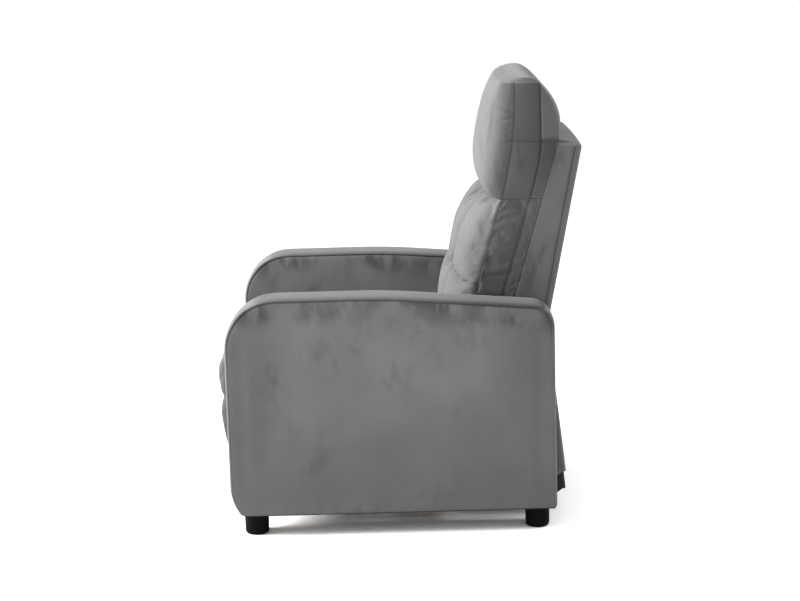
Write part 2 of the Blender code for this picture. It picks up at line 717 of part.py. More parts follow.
def seat_plate(name, side):
    """A pressed plate: an upright web with the pivots and a flange that carries the seat."""
    ear = SEAT_EAR_RADIUS
    corner = FOOTREST_PIVOT[1] - REAR_LINK_PIVOT[1]
    web_top = SEAT_DECK_Z + PLATE / 2
    outline = rounded([
        (BACK_PIVOT[0] + ear, BACK_PIVOT[1] + ear, ear / 2),
        (BACK_PIVOT[0] - ear, BACK_PIVOT[1] + ear, ear / 2),
        (SEAT_FRAME_REAR, web_top, 0.0),
        (SEAT_FRAME_FRONT, web_top, 0.0),
        (SEAT_FRAME_FRONT, web_top - corner, corner / 2),
        (REAR_LINK_PIVOT[0] - ear, SEAT_WEB_BOTTOM + ear, corner),
        (REAR_CONTROL_PIVOT[0], SEAT_WEB_BOTTOM, corner),
        (GLIDE_REAR[0] + ear, SEAT_WEB_BOTTOM, corner),
        (BACK_PIVOT[0] + ear, BACK_PIVOT[1] - ear, ear / 2),
    ])
    middle = side * layer(LAYER_SEAT)
    plate = as_mesh(side_plate(name, [outline], middle, PLATE, STEEL))
    flange = mirrored_box(name + "_flange", side,
                          (RAIL_INNER + FLANGE_INNER_INSET, SEAT_FRAME_FRONT + GAP, SEAT_DECK_Z),
                          (layer(LAYER_SEAT) + PLATE / 4, SEAT_FRAME_REAR - BACK_LINK_ROOM, DECK_TOP))
    head = PIN_HOLE + RIVET_RIM
    added = [
        flange,
        rivet(name + "_rear_link_pin", REAR_LINK_PIVOT, middle, side * inner_face(LAYER_REAR),
              PIN_RADIUS, head),
        rivet(name + "_control_link_pin", REAR_CONTROL_PIVOT, middle, side * inner_face(LAYER_REAR),
              PIN_RADIUS, head),
        rivet(name + "_back_pin", BACK_PIVOT, middle, side * inner_face(LAYER_BRACKET), PIN_RADIUS, head),
    ]
    added += [rod(f"{name}_glide_stud_{index}", glide, middle, side * (outer_face(LAYER_BASE) - GAP),
                  GLIDE_STUD_RADIUS) for index, glide in enumerate((GLIDE_REAR, GLIDE_FRONT))]
    join(plate, added)
    return plate


def glide(name, side, centre):
    """A nylon ring on the seat plate's stud, in the base plate's slot."""
    low = outer_face(LAYER_SEAT) + GAP
    length = outer_face(LAYER_BASE) - low
    bore = GLIDE_STUD_RADIUS + GAP
    profile = [(GLIDE_RADIUS, length), (GLIDE_RADIUS, 0.0), (bore, 0.0), (bore, length)]
    item = turned(name, profile, PLASTIC, ROUND_STEPS, closed=True)
    item.rotation_euler.y = side * math.pi / 2
    item.location = (side * low, *centre)
    return item


def lattice(low, high, across_count, up_count):
    """The outline and the holes of straps woven both ways."""
    loops = [rectangle(low, high)]
    steps = []
    for axis, count in enumerate((across_count, up_count)):
        room = high[axis] - low[axis] - count * STRAP_WIDTH
        pitch = STRAP_WIDTH + room / (count - 1)
        steps.append([(low[axis] + STRAP_WIDTH + index * pitch, low[axis] + (index + 1) * pitch)
                      for index in range(count - 1)])
    for left, right in steps[0]:
        for bottom, top in steps[1]:
            loops.append(rectangle((left, bottom), (right, top)))
    return loops


def seat_cushion_point(a, b, c):
    half = ARM_INNER - SEAT_SIDE_CLEARANCE
    x = a * half * (1 - CORNER_DRAW * abs(b) ** CORNER_POWER)
    depth = (SEAT_FRAME_REAR - BACK_LINK_ROOM - SEAT_FRONT) / 2
    y = SEAT_FRONT + depth * (1 + b * (1 - CORNER_DRAW * abs(a) ** CORNER_POWER))
    bottom = DECK_TOP + GAP
    top = SEAT_SIDE_HEIGHT + SEAT_CROWN * dome(a) * dome(b)
    top -= tufting(x, y, SEAT_TUFT_Y) * dome(a) * dome(b)
    y += SEAT_FRONT_ROUND * c * c * min(0.0, b) ** CORNER_POWER
    return Vector((x, y, bottom + (top - bottom) * (c + 1) / 2))


def seat_body():
    rail_top = SEAT_DECK_Z - GAP
    rail_bottom = rail_top - RAIL_HEIGHT
    front = (SEAT_FRAME_FRONT, SEAT_FRAME_FRONT + RAIL_WIDTH)
    rear = (SEAT_FRAME_REAR - RAIL_WIDTH, SEAT_FRAME_REAR)
    half = ARM_INNER - SEAT_SIDE_CLEARANCE
    strap_half = RAIL_INNER + FLANGE_INNER_INSET - GAP
    pieces = [
        box("seat_front_rail", (-RAIL_OUTER, front[0], rail_bottom), (RAIL_OUTER, front[1], rail_top), WOOD),
        box("seat_rear_rail", (-RAIL_INNER + GAP, rear[0], rail_bottom),
            (RAIL_INNER - GAP, rear[1], rail_top), WOOD),
        floor_plate("seat_webbing", lattice((-strap_half, front[0]), (strap_half, rear[1]), 4, 4),
                    SEAT_DECK_Z + WEBBING / 2, WEBBING, STRAP),
        pillow("seat_cushion", (even_cuts(8, seam_cuts(half) + EDGE_CUTS),
                                even_cuts(10, EDGE_CUTS), even_cuts(3)), seat_cushion_point, VELVET),
    ]
    for word, side in SIDES:
        pieces.append(mirrored_box(word + "_seat_side_rail", side, (RAIL_INNER, front[1] + GAP, rail_bottom),
                                   (RAIL_OUTER, rear[1], rail_top), WOOD))
        pieces.append(seat_plate(word + "_seat_plate", side))
        pieces.append(glide(word + "_rear_glide", side, GLIDE_REAR))
        pieces.append(glide(word + "_front_glide", side, GLIDE_FRONT))
    return pieces


# Links

def link(name, side, index, rounds, holes, pins=()):
    """A flat link in its layer; pins are (centre, face that the head lies on, pin radius, hole radius)."""
    loops = [hull([(centre, LINK_RADIUS) for centre in rounds])]
    loops += [circle(centre, radius) for centre, radius in holes]
    item = side_plate(name, loops, side * layer(index), PLATE, STEEL)
    if pins:
        item = as_mesh(item)
        join(item, [rivet(f"{name}_pin_{number}", centre, side * layer(index), side * face, radius,
                          hole + RIVET_RIM)
                    for number, (centre, face, radius, hole) in enumerate(pins)])
    return item


def rear_link(word, side):
    pins = [(KNEE, inner_face(LAYER_FRONT), PIN_RADIUS, PIN_HOLE),
            (REAR_TAIL, inner_face(LAYER_CONTROL), PIN_RADIUS, PIN_HOLE)]
    return link(word + "_rear_link", side, LAYER_REAR, (REAR_LINK_PIVOT, REAR_TAIL),
                [(REAR_LINK_PIVOT, PIN_HOLE)], pins)


def rear_control_link(word, side):
    """A bell crank: the drive link works its short upper arm."""
    pins = [(CRANK_PIN, outer_face(LAYER_DRIVE), DRIVE_PIN_RADIUS, DRIVE_HOLE)]
    return link(word + "_rear_control_link", side, LAYER_REAR, (CRANK_PIN, REAR_CONTROL_PIVOT, CONTROL_LOOP),
                [(REAR_CONTROL_PIVOT, PIN_HOLE), (CONTROL_LOOP, OPEN_HOLE)], pins)


def front_link(word, side):
    pins = [(FOOTREST_PIVOT, inner_face(LAYER_BRACKET), PIN_RADIUS, PIN_HOLE),
            (FRONT_TAIL, outer_face(LAYER_REAR), OPEN_PIN_RADIUS, OPEN_HOLE)]
    return link(word + "_front_link", side, LAYER_FRONT, (FRONT_TAIL, FOOTREST_PIVOT),
                [(KNEE, PIN_HOLE)], pins)


def plain_link(name, side, index, carried, loop_end, loop_hole):
    """A link on a pin at one end, with clearance round the pin that closes the loop at the other."""
    return link(name, side, index, (carried, loop_end), [(carried, PIN_HOLE), (loop_end, loop_hole)])


# Footrest

def footrest_bracket(name, side):
    back = FOOTREST_BOARD_BACK + GAP
    reach = FOOTREST_BRACKET_RADIUS
    outline = hull([(FOOTREST_PIVOT, reach), (FOOTREST_CONTROL, reach),
                    ((back, FOOTREST_CONTROL[1] - 2 * reach), 0.0),
                    ((back, FOOTREST_PIVOT[1] + 2 * reach), 0.0)])
    middle = side * layer(LAYER_BRACKET)
    plate = as_mesh(side_plate(name, [outline, circle(FOOTREST_PIVOT, PIN_HOLE)], middle, PLATE, STEEL))
    outer = layer(LAYER_BRACKET) + PLATE / 4
    flange = mirrored_box(name + "_flange", side,
                          (outer - FOOTREST_FLANGE_WIDTH, back, FOOTREST_FLANGE_BOTTOM),
                          (outer, back + PLATE, FOOTREST_FLANGE_TOP))
    pin = rivet(name + "_pin", FOOTREST_CONTROL, middle, side * inner_face(LAYER_CONTROL), OPEN_PIN_RADIUS,
                OPEN_HOLE + RIVET_RIM)
    join(plate, [flange, pin])
    return plate


def footrest_point(a, b, c):
    """A pad that is fullest near the top, with a cross seam and a flatter band at the bottom."""
    half = ARM_INNER - FOOTREST_SIDE_CLEARANCE
    height = FOOTREST_TOP - FOOTREST_BOTTOM
    z = FOOTREST_BOTTOM + height * (c + 1) / 2
    full_height = FOOTREST_FULL_SHARE * (FOOTREST_TOP - FOOTREST_BAND_Z)
    rise = min(1.0, max(0.0, (z - FOOTREST_BAND_Z) / full_height))
    front = FOOTREST_BAND_FRONT + (FOOTREST_FRONT - FOOTREST_BAND_FRONT) * math.sin(rise * math.pi / 2)
    front += FOOTREST_SEAM_DEPTH * groove(z - FOOTREST_SEAM_Z, SEAM_WIDTH)
    front += FOOTREST_BAND_DEPTH * groove(z - FOOTREST_BAND_Z, SEAM_WIDTH)
    fullness = dome(a, CORNER_POWER) * (dome(c, CORNER_POWER) if c > 0 else 1.0)
    front = FOOTREST_SIDE_FRONT + (front - FOOTREST_SIDE_FRONT) * fullness
    rear = FOOTREST_BOARD_BACK - PLYWOOD - GAP
    x = a * half * (1 - CORNER_DRAW * abs(c) ** CORNER_POWER)
    return Vector((x, front + (rear - front) * (b + 1) / 2, z))


def footrest_body():
    half = ARM_INNER - FOOTREST_SIDE_CLEARANCE
    board = half - FOOTREST_BOARD_INSET
    seams = [2 * (z - FOOTREST_BOTTOM) / (FOOTREST_TOP - FOOTREST_BOTTOM) - 1
             for z in (FOOTREST_SEAM_Z, FOOTREST_BAND_Z)]
    pieces = [
        box("footrest_board", (-board, FOOTREST_BOARD_BACK - PLYWOOD, FOOTREST_BOARD_BOTTOM),
            (board, FOOTREST_BOARD_BACK, FOOTREST_BOARD_TOP), WOOD),
        pillow("footrest_cushion", (even_cuts(10, FIRM_EDGE_CUTS), even_cuts(2),
                                    even_cuts(14, seams + EDGE_CUTS[1:])), footrest_point, VELVET),
    ]
    return pieces + [footrest_bracket(word + "_footrest_bracket", side) for word, side in SIDES]


# Backrest

def back_frame_box(name, low, high):
    """A batten in the leaning back frame: x, depth behind the frame's front face, length up the frame."""
    front = back_line(BACK_LINE_Z) + (WEBBING + 2 * GAP) / math.cos(BACK_TILT)
    frame = Vector((0.0, front, BACK_LINE_Z))
    batten = box(name, low, high, WOOD)
    batten.location.rotate(LEAN)
    batten.location += frame
    batten.rotation_euler = LEAN
    return batten


def up_frame(z):
    """Length up the leaning frame at a height."""
    return (z - BACK_LINE_Z) / math.cos(BACK_TILT)


def back_shell(name):
    """An upholstered shell, open at the front and the bottom."""
    half = ARM_INNER - BACK_SIDE_CLEARANCE
    outline = rounded([
        (back_line(SHELL_BOTTOM), SHELL_BOTTOM, 0.0),
        (SHELL_REAR_BOTTOM, SHELL_BOTTOM, 0.0),
        (SHELL_REAR_TOP, SHELL_TOP - SHELL_TOP_DROP, SHELL_RADIUS),
        (back_line(SHELL_TOP), SHELL_TOP, 0.0),
    ])
    shell = as_mesh(side_plate(name, [outline], 0.0, 2 * half, SHADED_VELVET))
    under = SHELL_BOTTOM - SHELL_RADIUS
    lean = (SHELL_REAR_TOP - SHELL_REAR_BOTTOM) / (SHELL_TOP - SHELL_TOP_DROP - SHELL_BOTTOM)
    hollow = rounded([
        (back_line(under) - SHELL_RADIUS, under, 0.0),
        (SHELL_REAR_BOTTOM - SHELL_WALL - lean * SHELL_RADIUS, under, 0.0),
        (SHELL_REAR_TOP - SHELL_WALL, SHELL_TOP - SHELL_TOP_DROP - SHELL_WALL, SHELL_RADIUS - SHELL_WALL),
        (back_line(SHELL_TOP) - SHELL_RADIUS, SHELL_TOP - SHELL_WALL, 0.0),
    ])
    cut(shell, [as_mesh(side_plate(name + "_hollow", [hollow], 0.0, 2 * (half - SHELL_WALL), None))])
    return shell


def lumbar_point(a, b, c):
    half = ARM_INNER - BACK_SIDE_CLEARANCE
    x = a * half * (1 - CORNER_DRAW * abs(c) ** CORNER_POWER)
    z = (LUMBAR_BOTTOM + LUMBAR_TOP) / 2 + c * (LUMBAR_TOP - LUMBAR_BOTTOM) / 2
    fullness = dome(a) * dome(c)
    front = front_seam(z) - (LUMBAR_CROWN - tufting(x, z, LUMBAR_TUFT_Z)) * fullness
    rear = back_line(z) - GAP
    return Vector((x, front + (rear - front) * (b + 1) / 2, z))


def headrest_point(a, b, c):
    half = ARM_INNER - BACK_SIDE_CLEARANCE
    share = (c + 1) / 2
    low = LUMBAR_TOP + GAP
    z = low + (HEADREST_TOP - low) * share
    below = z < HEADREST_CREST_Z
    reach = HEADREST_CREST_Z - LUMBAR_TOP + HEADREST_TOP_CROWN if below else (
        HEADREST_TOP + HEADREST_TOP_CROWN - HEADREST_CREST_Z)
    fullness = dome((z - HEADREST_CREST_Z) / reach, HEADREST_CREST_POWER) * dome(a)
    front = front_seam(z) - HEADREST_CROWN * fullness
    over = max(0.0, (z - SHELL_TOP) / (HEADREST_TOP - SHELL_TOP))
    rear = back_line(min(z, SHELL_TOP)) - GAP - HEADREST_REAR_TAPER * over ** 2
    rear += 4 * HEADREST_REAR_BULGE * over * (1 - over) * dome(a)
    z += HEADREST_TOP_CROWN * share ** HEADREST_TOP_POWER * dome(a) * (1 - b * b)
    x = a * half * (1 - CORNER_DRAW * abs(c) ** CORNER_POWER)
    return Vector((x, front + (rear - front) * (b + 1) / 2, z))


def back_bracket(name, side):
    """A plate with the back's pivot and the ear for the back link, and an arm up the side of the post."""
    rim = BACK_BRACKET_RIM
    shoulder = BACK_LINK_TOP[1] + rim
    front = [back_line(z) + WEBBING for z in (shoulder, BACK_BRACKET_TOP)]
    outline = rounded([
        (BACK_LINK_TOP[0] - rim, shoulder, rim),
        (front[0], shoulder, 0.0),
        (front[1], BACK_BRACKET_TOP, rim / 2),
        (front[1] + POST_DEPTH, BACK_BRACKET_TOP, rim / 2),
        (BACK_PIVOT[0] + 2 * rim, BACK_PIVOT[1] - rim, rim),
        (BACK_PIVOT[0] - rim, BACK_PIVOT[1] - rim, rim),
        (BACK_LINK_TOP[0] - rim, BACK_LINK_TOP[1] - rim, rim),
    ])
    middle = side * layer(LAYER_BRACKET)
    plate = as_mesh(side_plate(name, [outline, circle(BACK_PIVOT, PIN_HOLE)], middle, PLATE, STEEL))
    join(plate, [rivet(name + "_pin", BACK_LINK_TOP, middle, side * outer_face(LAYER_DRIVE),
                       OPEN_PIN_RADIUS, OPEN_HOLE + RIVET_RIM)])
    return plate


def back_body():
    half = ARM_INNER - BACK_SIDE_CLEARANCE
    inner = POST_OUTER - POST_WIDTH - GAP
    top, bottom = up_frame(POST_TOP), up_frame(POST_BOTTOM)
    rail_low = up_frame(SHELL_BOTTOM)
    straps = floor_plate("back_webbing", lattice((-POST_OUTER, rail_low), (POST_OUTER, top), 3, 4), 0.0,
                         WEBBING, STRAP)
    straps.rotation_euler = (math.pi / 2 - BACK_TILT, 0.0, 0.0)
    straps.location = (0.0, back_line(BACK_LINE_Z) + (GAP + WEBBING / 2) / math.cos(BACK_TILT), BACK_LINE_Z)
    columns = even_cuts(8, seam_cuts(half) + EDGE_CUTS)
    tuft = (2 * LUMBAR_TUFT_Z - LUMBAR_BOTTOM - LUMBAR_TOP) / (LUMBAR_TOP - LUMBAR_BOTTOM)
    pieces = [
        back_frame_box("back_top_rail", (-inner, 0.0, top - BACK_RAIL_HEIGHT), (inner, POST_DEPTH, top)),
        back_frame_box("back_bottom_rail", (-inner, 0.0, rail_low),
                       (inner, POST_DEPTH, rail_low + BACK_RAIL_HEIGHT)),
        straps,
        back_shell("back_shell"),
        pillow("back_cushion", (columns, even_cuts(3), even_cuts(10, [tuft] + EDGE_CUTS)), lumbar_point,
               VELVET),
        pillow("headrest_cushion", (even_cuts(12, FIRM_EDGE_CUTS), even_cuts(4), even_cuts(12, EDGE_CUTS)),
               headrest_point, VELVET),
    ]
    for word, side in SIDES:
        spread = sorted((side * (POST_OUTER - POST_WIDTH), side * POST_OUTER))
        pieces.append(back_frame_box(word + "_back_post", (spread[0], 0.0, bottom),
                                     (spread[1], POST_DEPTH, top)))
        pieces.append(back_bracket(word + "_back_bracket", side))
    return pieces


# Flap under the shell

def strip(points, thickness, round_top):
    """The outline of a thin strip to both sides of a line of (y, z) points."""
    half = thickness / 2
    sides = ([], [])
    for index, point in enumerate(points):
        ahead = Vector(points[min(index + 1, len(points) - 1)]) - Vector(points[max(index - 1, 0)])
        across = Vector((-ahead.y, ahead.x)).normalized() * half
        sides[0].append(tuple(Vector(point) + across))
        sides[1].append(tuple(Vector(point) - across))
    cap = []
    if round_top:
        first = Vector(points[1]) - Vector(points[0])
        start = math.atan2(-first.x, first.y)
        cap = [(points[0][0] + half * math.cos(start - math.pi * step / CORNER_STEPS),
                points[0][1] + half * math.sin(start - math.pi * step / CORNER_STEPS))
               for step in range(1, CORNER_STEPS)]
    return sides[0] + sides[1][::-1] + cap


def flap_line(z):
    """The flap's (y) at a height: it flares from its hinge by the bend to the hem."""
    share = (FLAP_HINGE[1] - z) / (FLAP_HINGE[1] - FLAP_HEM[1])
    bend = (FLAP_HINGE[1] - FLAP_BEND[1]) / (FLAP_HINGE[1] - FLAP_HEM[1])
    straight = FLAP_HINGE[0] + (FLAP_HEM[0] - FLAP_HINGE[0]) * share
    middle = FLAP_HINGE[0] + (FLAP_HEM[0] - FLAP_HINGE[0]) * bend
    return straight + (FLAP_BEND[0] - middle) * share * (1 - share) / (bend * (1 - bend))


def flap_body():
    half = ARM_INNER - FLAP_SIDE_CLEARANCE
    drop = FLAP_HINGE[1] - FLAP_HEM[1]
    heights = [FLAP_HINGE[1] - drop * step / CORNER_STEPS for step in range(CORNER_STEPS + 1)]
    line = [(flap_line(z), z) for z in heights]
    inside = FLAP_THICKNESS / 2 + GAP + LINING_THICKNESS / 2
    tail = [LINING_TOP + (LINING_BOTTOM - LINING_TOP) * step / 3 for step in range(4)]
    lining = [(flap_line(z) - inside, z) for z in tail]
    return [
        side_plate("rear_flap", [strip(line, FLAP_THICKNESS, True)], 0.0, 2 * half, VELVET),
        side_plate("rear_flap_lining", [strip(lining, LINING_THICKNESS, False)], 0.0, 2 * half, LINING),
    ]


# Assembly

base = empty("base", (0.0, 0.0, 0.0))
seat = empty("seat", (0.0, 0.0, SEAT_DECK_Z))
back = empty("back", (0.0, *BACK_PIVOT))
flap = empty("flap", (0.0, *FLAP_HINGE))
rear_links = empty("rear_links", (0.0, *REAR_LINK_PIVOT))
front_links = empty("front_links", (0.0, *KNEE))
footrest = empty("footrest", (0.0, *FOOTREST_PIVOT))

carry(base, [stretcher(name, y) for name, y in STRETCHERS])
carry(seat, seat_body())
carry(back, back_body())
carry(flap, flap_body())
carry(footrest, footrest_body())
for word, side in SIDES:
    carry(base, arm(word, side))
    carry(base, [base_plate(word + "_base_plate", side)])
    for end, y in (("front", FOOT_FRONT_Y), ("rear", FOOT_REAR_Y)):
        carry(base, [foot(f"{word}_{end}_foot", side * ARM_MIDDLE, y)])
    carry(rear_links, [rear_link(word, side)])
    carry(front_links, [front_link(word, side)])
    holder = empty(word + "_rear_control_link_pivot", (0.0, *REAR_CONTROL_PIVOT))
    carry(holder, [rear_control_link(word, side)])
    for name, index, carried, loop_end, loop_hole in (
            ("front_control_link", LAYER_CONTROL, REAR_TAIL, FOOTREST_CONTROL, OPEN_HOLE),
            ("footrest_drive_link", LAYER_DRIVE, DRIVE_LINK_PIVOT, DRIVE_LOOP, DRIVE_HOLE),
            ("back_link", LAYER_DRIVE, BACK_LINK_PIVOT, BACK_LOOP, OPEN_HOLE)):
        holder = empty(f"{word}_{name}_pivot", (0.0, *carried))
        carry(holder, [plain_link(f"{word}_{name}", side, index, carried, loop_end, loop_hole)])
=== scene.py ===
# %% [markdown]
# # A push-back recliner in grey velvet
# The chair's wood, steel and joints come packed from the CAD model and stay where they are. This lesson
# dresses that frame: padded arms, tufted cushions, an upholstered shell, a hanging flap and round feet.
# Everything is in metres, the sitter faces -Y and the sitter's left is +X.

# %% Load the frame
import json
import math

import bmesh
import bpy
import numpy as np
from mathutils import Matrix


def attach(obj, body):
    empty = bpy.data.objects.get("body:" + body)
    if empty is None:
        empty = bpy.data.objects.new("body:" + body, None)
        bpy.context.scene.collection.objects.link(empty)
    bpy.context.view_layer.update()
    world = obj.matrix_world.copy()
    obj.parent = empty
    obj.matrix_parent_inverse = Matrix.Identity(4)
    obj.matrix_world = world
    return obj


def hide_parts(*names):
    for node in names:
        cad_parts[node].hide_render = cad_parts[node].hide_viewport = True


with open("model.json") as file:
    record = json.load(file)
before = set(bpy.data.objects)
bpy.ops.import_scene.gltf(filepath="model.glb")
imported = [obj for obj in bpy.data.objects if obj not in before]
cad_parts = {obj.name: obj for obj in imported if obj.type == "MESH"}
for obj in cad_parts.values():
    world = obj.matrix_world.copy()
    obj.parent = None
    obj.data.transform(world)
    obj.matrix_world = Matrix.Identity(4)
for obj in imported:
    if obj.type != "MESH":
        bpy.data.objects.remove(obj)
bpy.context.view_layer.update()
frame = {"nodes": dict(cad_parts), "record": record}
SIDES = (("left", 1), ("right", -1))

# %% [markdown]
# ## From numbers to meshes
# A surface is an array of points in rows and columns. It could be modelled by hand with loop cuts, but a
# grid of numbers is quicker to correct: change a length and the whole form follows. Grids that share an
# edge are welded, so that every piece is one closed skin with its faces turned outwards.

# %% Grids, welding and reading back
WELD_GAP = 2e-5


def welded(name, grids, closed=False):
    """Joins grids of points, rows by columns by 3, into one mesh.

    Four neighbours of a grid make a quad; closed joins each last column to the first.
    """
    points, quads, count = [], [], 0
    for grid in grids:
        rows, columns = grid.shape[:2]
        index = count + np.arange(rows * columns).reshape(rows, columns)
        if closed:
            index = np.concatenate([index, index[:, :1]], axis=1)
        corners = (index[:-1, :-1], index[:-1, 1:], index[1:, 1:], index[1:, :-1])
        quads.append(np.stack(corners, axis=-1).reshape(-1, 4))
        points.append(grid.reshape(-1, 3))
        count += rows * columns
    mesh = bpy.data.meshes.new(name)
    mesh.from_pydata(np.concatenate(points).tolist(), [], np.concatenate(quads).tolist())
    skin = bmesh.new()
    skin.from_mesh(mesh)
    bmesh.ops.remove_doubles(skin, verts=skin.verts, dist=WELD_GAP)
    bmesh.ops.recalc_face_normals(skin, faces=skin.faces)
    skin.to_mesh(mesh)
    skin.free()
    mesh.shade_smooth()
    item = bpy.data.objects.new(name, mesh)
    bpy.context.scene.collection.objects.link(item)
    return item


def points_of(item, what="co"):
    """The places or the normals of a mesh's points, as an array of rows of three."""
    values = np.empty(3 * len(item.data.vertices))
    item.data.vertices.foreach_get(what, values)
    return values.reshape(-1, 3)


def move_points(item, points):
    """Gives all points of a mesh new places."""
    item.data.vertices.foreach_set("co", np.ascontiguousarray(points).ravel())
    item.data.update()


def press(item, depth):
    """Moves points inwards along their normals by a depth each, in metres."""
    move_points(item, points_of(item) - points_of(item, "normal") * np.asarray(depth)[:, None])


def note_points(item, name, values):
    """Writes one number per point, for a material to read."""
    layer = item.data.attributes.new(name, "FLOAT", "POINT")
    layer.data.foreach_set("value", np.asarray(values, dtype=np.float32))


def smooth_step(value, low, high):
    """0 below low, 1 above high and an S-curve between."""
    share = np.clip((value - low) / (high - low), 0.0, 1.0)
    return share * share * (3 - 2 * share)


def valley(distance, width):
    """1 on a line and falling off as a bell curve with this half-width."""
    return np.exp(-((distance / width) ** 2))


print("mesh tools ready; points closer than", WELD_GAP, "m are welded")

# %% [markdown]
# ## Colours and nodes
# Colours are picked as sRGB hex values from how the cloth looks, and turned to the linear light that the
# renderer works in. Nodes could be joined by hand in the shader editor; one helper that adds any node, sets
# it and joins it keeps a whole finish readable as text.

# %% Colour and node helpers
MM = 0.001


def linear(code):
    """An sRGB hex value as linear red, green, blue and alpha."""
    parts = np.array([int(code[index:index + 2], 16) for index in (0, 2, 4)]) / 255
    light = np.where(parts <= 0.04045, parts / 12.92, ((parts + 0.055) / 1.055) ** 2.4)
    return (*light.tolist(), 1.0)


def add(tree, kind, sockets=None, **settings):
    """Adds a node. A socket's value is a constant, or another node's output to link."""
    new = tree.nodes.new(kind)
    for name, value in settings.items():
        setattr(new, name, value)
    for name, value in (sockets or {}).items():
        if isinstance(value, bpy.types.NodeSocket):
            tree.links.new(value, new.inputs[name])
        else:
            new.inputs[name].default_value = value
    return new


def new_material(name):
    """A material and its node tree, still empty."""
    look = bpy.data.materials.new(name)
    look.use_nodes = True
    look.node_tree.nodes.clear()
    return look, look.node_tree


def per(millimetres):
    """Noise scale whose features are about this size."""
    return 1 / (millimetres * MM)


print("a grey of 5d5d5d in linear light:", [round(value, 3) for value in linear("5d5d5d")])

# %% [markdown]
# ## Velvet
# The cover is knitted polyester velvet: a short upright pile that looks pale where it is seen along its
# tips and dark where it was brushed the other way. A photographed cloth could be wrapped round the chair,
# but noise has no borders and fits every piece. The shader's sheen gives the pale rims. Brushed marks come
# from soft noise at hand size, and runs below the arm's seam from noise that is stretched upright and kept
# to a strip there. Pile a third of a millimetre across is too fine to show, so it is drawn 1 mm wide.
# Some pieces also write painted shade into their nap, where less light falls on them.

# %% Velvet material
PILE_MM = 1.0
# Each mark: stretched upright or not, size in mm, detail, twist, and the noise where it starts and is full.
VELVET_MARKS = {
    "cloud": (False, 150, 2.0, 0.0, 0.32, 0.68),
    "patch": (False, 130, 1.0, 0.0, 0.46, 0.64),
    "brushed": (True, 34, 3.0, 0.25, 0.50, 0.72),
    "cluster": (False, 110, 1.0, 0.0, 0.34, 0.54),
    "drop": (True, 30, 3.0, 0.2, 0.40, 0.56),
}
# The nap tint darkens pile that lies the other way, and it also paints shade where pieces note it with their
# nap.
VELVET_TINTS = {"brushed": "b4b4b4", "drop": "a2a2a2", "nap_and_shade": "a4a4a4", "seam": "8c8c8c"}


def velvet(name, dark, pale, mark, run):
    """Short-pile polyester velvet, brushed by hand: a cloudy tone times a darker tint for each kind of mark.

    Brushed marks keep to patches. Runs keep to clusters and to the strip that a piece notes as run. Nap,
    with painted shade mixed in, and seams are noted by the pieces too.
    """
    look, tree = new_material(name)
    place = add(tree, "ShaderNodeTexCoord").outputs["Object"]
    upright = add(tree, "ShaderNodeMapping", {"Vector": place, "Scale": (1.0, 1.0, 0.5)}).outputs["Vector"]
    most = {"brushed": mark, "cluster": run}
    share = {}
    for title, (stretched, size, detail, twist, low, high) in VELVET_MARKS.items():
        noise = add(tree, "ShaderNodeTexNoise", {
            "Vector": upright if stretched else place, "Scale": per(size), "Detail": detail,
            "Roughness": 0.55, "Distortion": twist})
        cut = add(tree, "ShaderNodeMapRange", {
            "Value": noise.outputs["Fac"], "From Min": low, "From Max": high, "To Min": 0.0,
            "To Max": most.get(title, 1.0)})
        share[title] = cut.outputs["Result"]
    for title in ("run", "nap_and_shade", "seam"):
        share[title] = add(tree, "ShaderNodeAttribute", attribute_name=title).outputs["Fac"]
    for title, limit in (("brushed", "patch"), ("drop", "cluster"), ("drop", "run")):
        kept = add(tree, "ShaderNodeMath", {0: share[title], 1: share[limit]}, operation="MULTIPLY")
        share[title] = kept.outputs["Value"]
    cover = add(tree, "ShaderNodeMix", {"Factor": share["cloud"], "A": linear(dark), "B": linear(pale)},
                data_type="RGBA").outputs["Result"]
    for title, tint in VELVET_TINTS.items():
        cover = add(tree, "ShaderNodeMix", {"Factor": share[title], "A": cover, "B": linear(tint)},
                    data_type="RGBA", blend_type="MULTIPLY").outputs["Result"]
    fibres = add(tree, "ShaderNodeTexNoise", {
        "Vector": place, "Scale": per(PILE_MM), "Detail": 2.0, "Roughness": 0.55, "Distortion": 0.0})
    pile = add(tree, "ShaderNodeBump", {
        "Height": fibres.outputs["Fac"], "Strength": 0.25, "Distance": 0.4 * MM})
    shader = add(tree, "ShaderNodeBsdfPrincipled", {
        "Base Color": cover, "Normal": pile.outputs["Normal"], "Roughness": 0.9, "Specular IOR Level": 0.1,
        "Sheen Weight": 0.14, "Sheen Roughness": 0.4, "Sheen Tint": linear("f0f0f0")})
    add(tree, "ShaderNodeOutputMaterial", {"Surface": shader.outputs["BSDF"]})
    return look


VELVET = velvet("grey polyester velvet, brushed", "555555", "5d5d5d", 0.5, 0.8)
SHELL_VELVET = velvet("grey polyester velvet, nap down", "595959", "616161", 0.75, 0.0)
print("velvets:", VELVET.name, "and", SHELL_VELVET.name)

# %% [markdown]
# ## Wood, steel, webbing, lining and plastic
# What the cover hides still shows from behind and below, and when the chair is open. The rails are planed
# pine with grain along them, the links are pressed steel in satin black, the straps are woven elastic, the
# lining is black non-woven cloth and the feet are moulded plastic with a fine texture. Each finish could be
# a plain colour; a little noise in tone and gloss keeps it from looking like paint on a toy.

# %% Materials of the frame


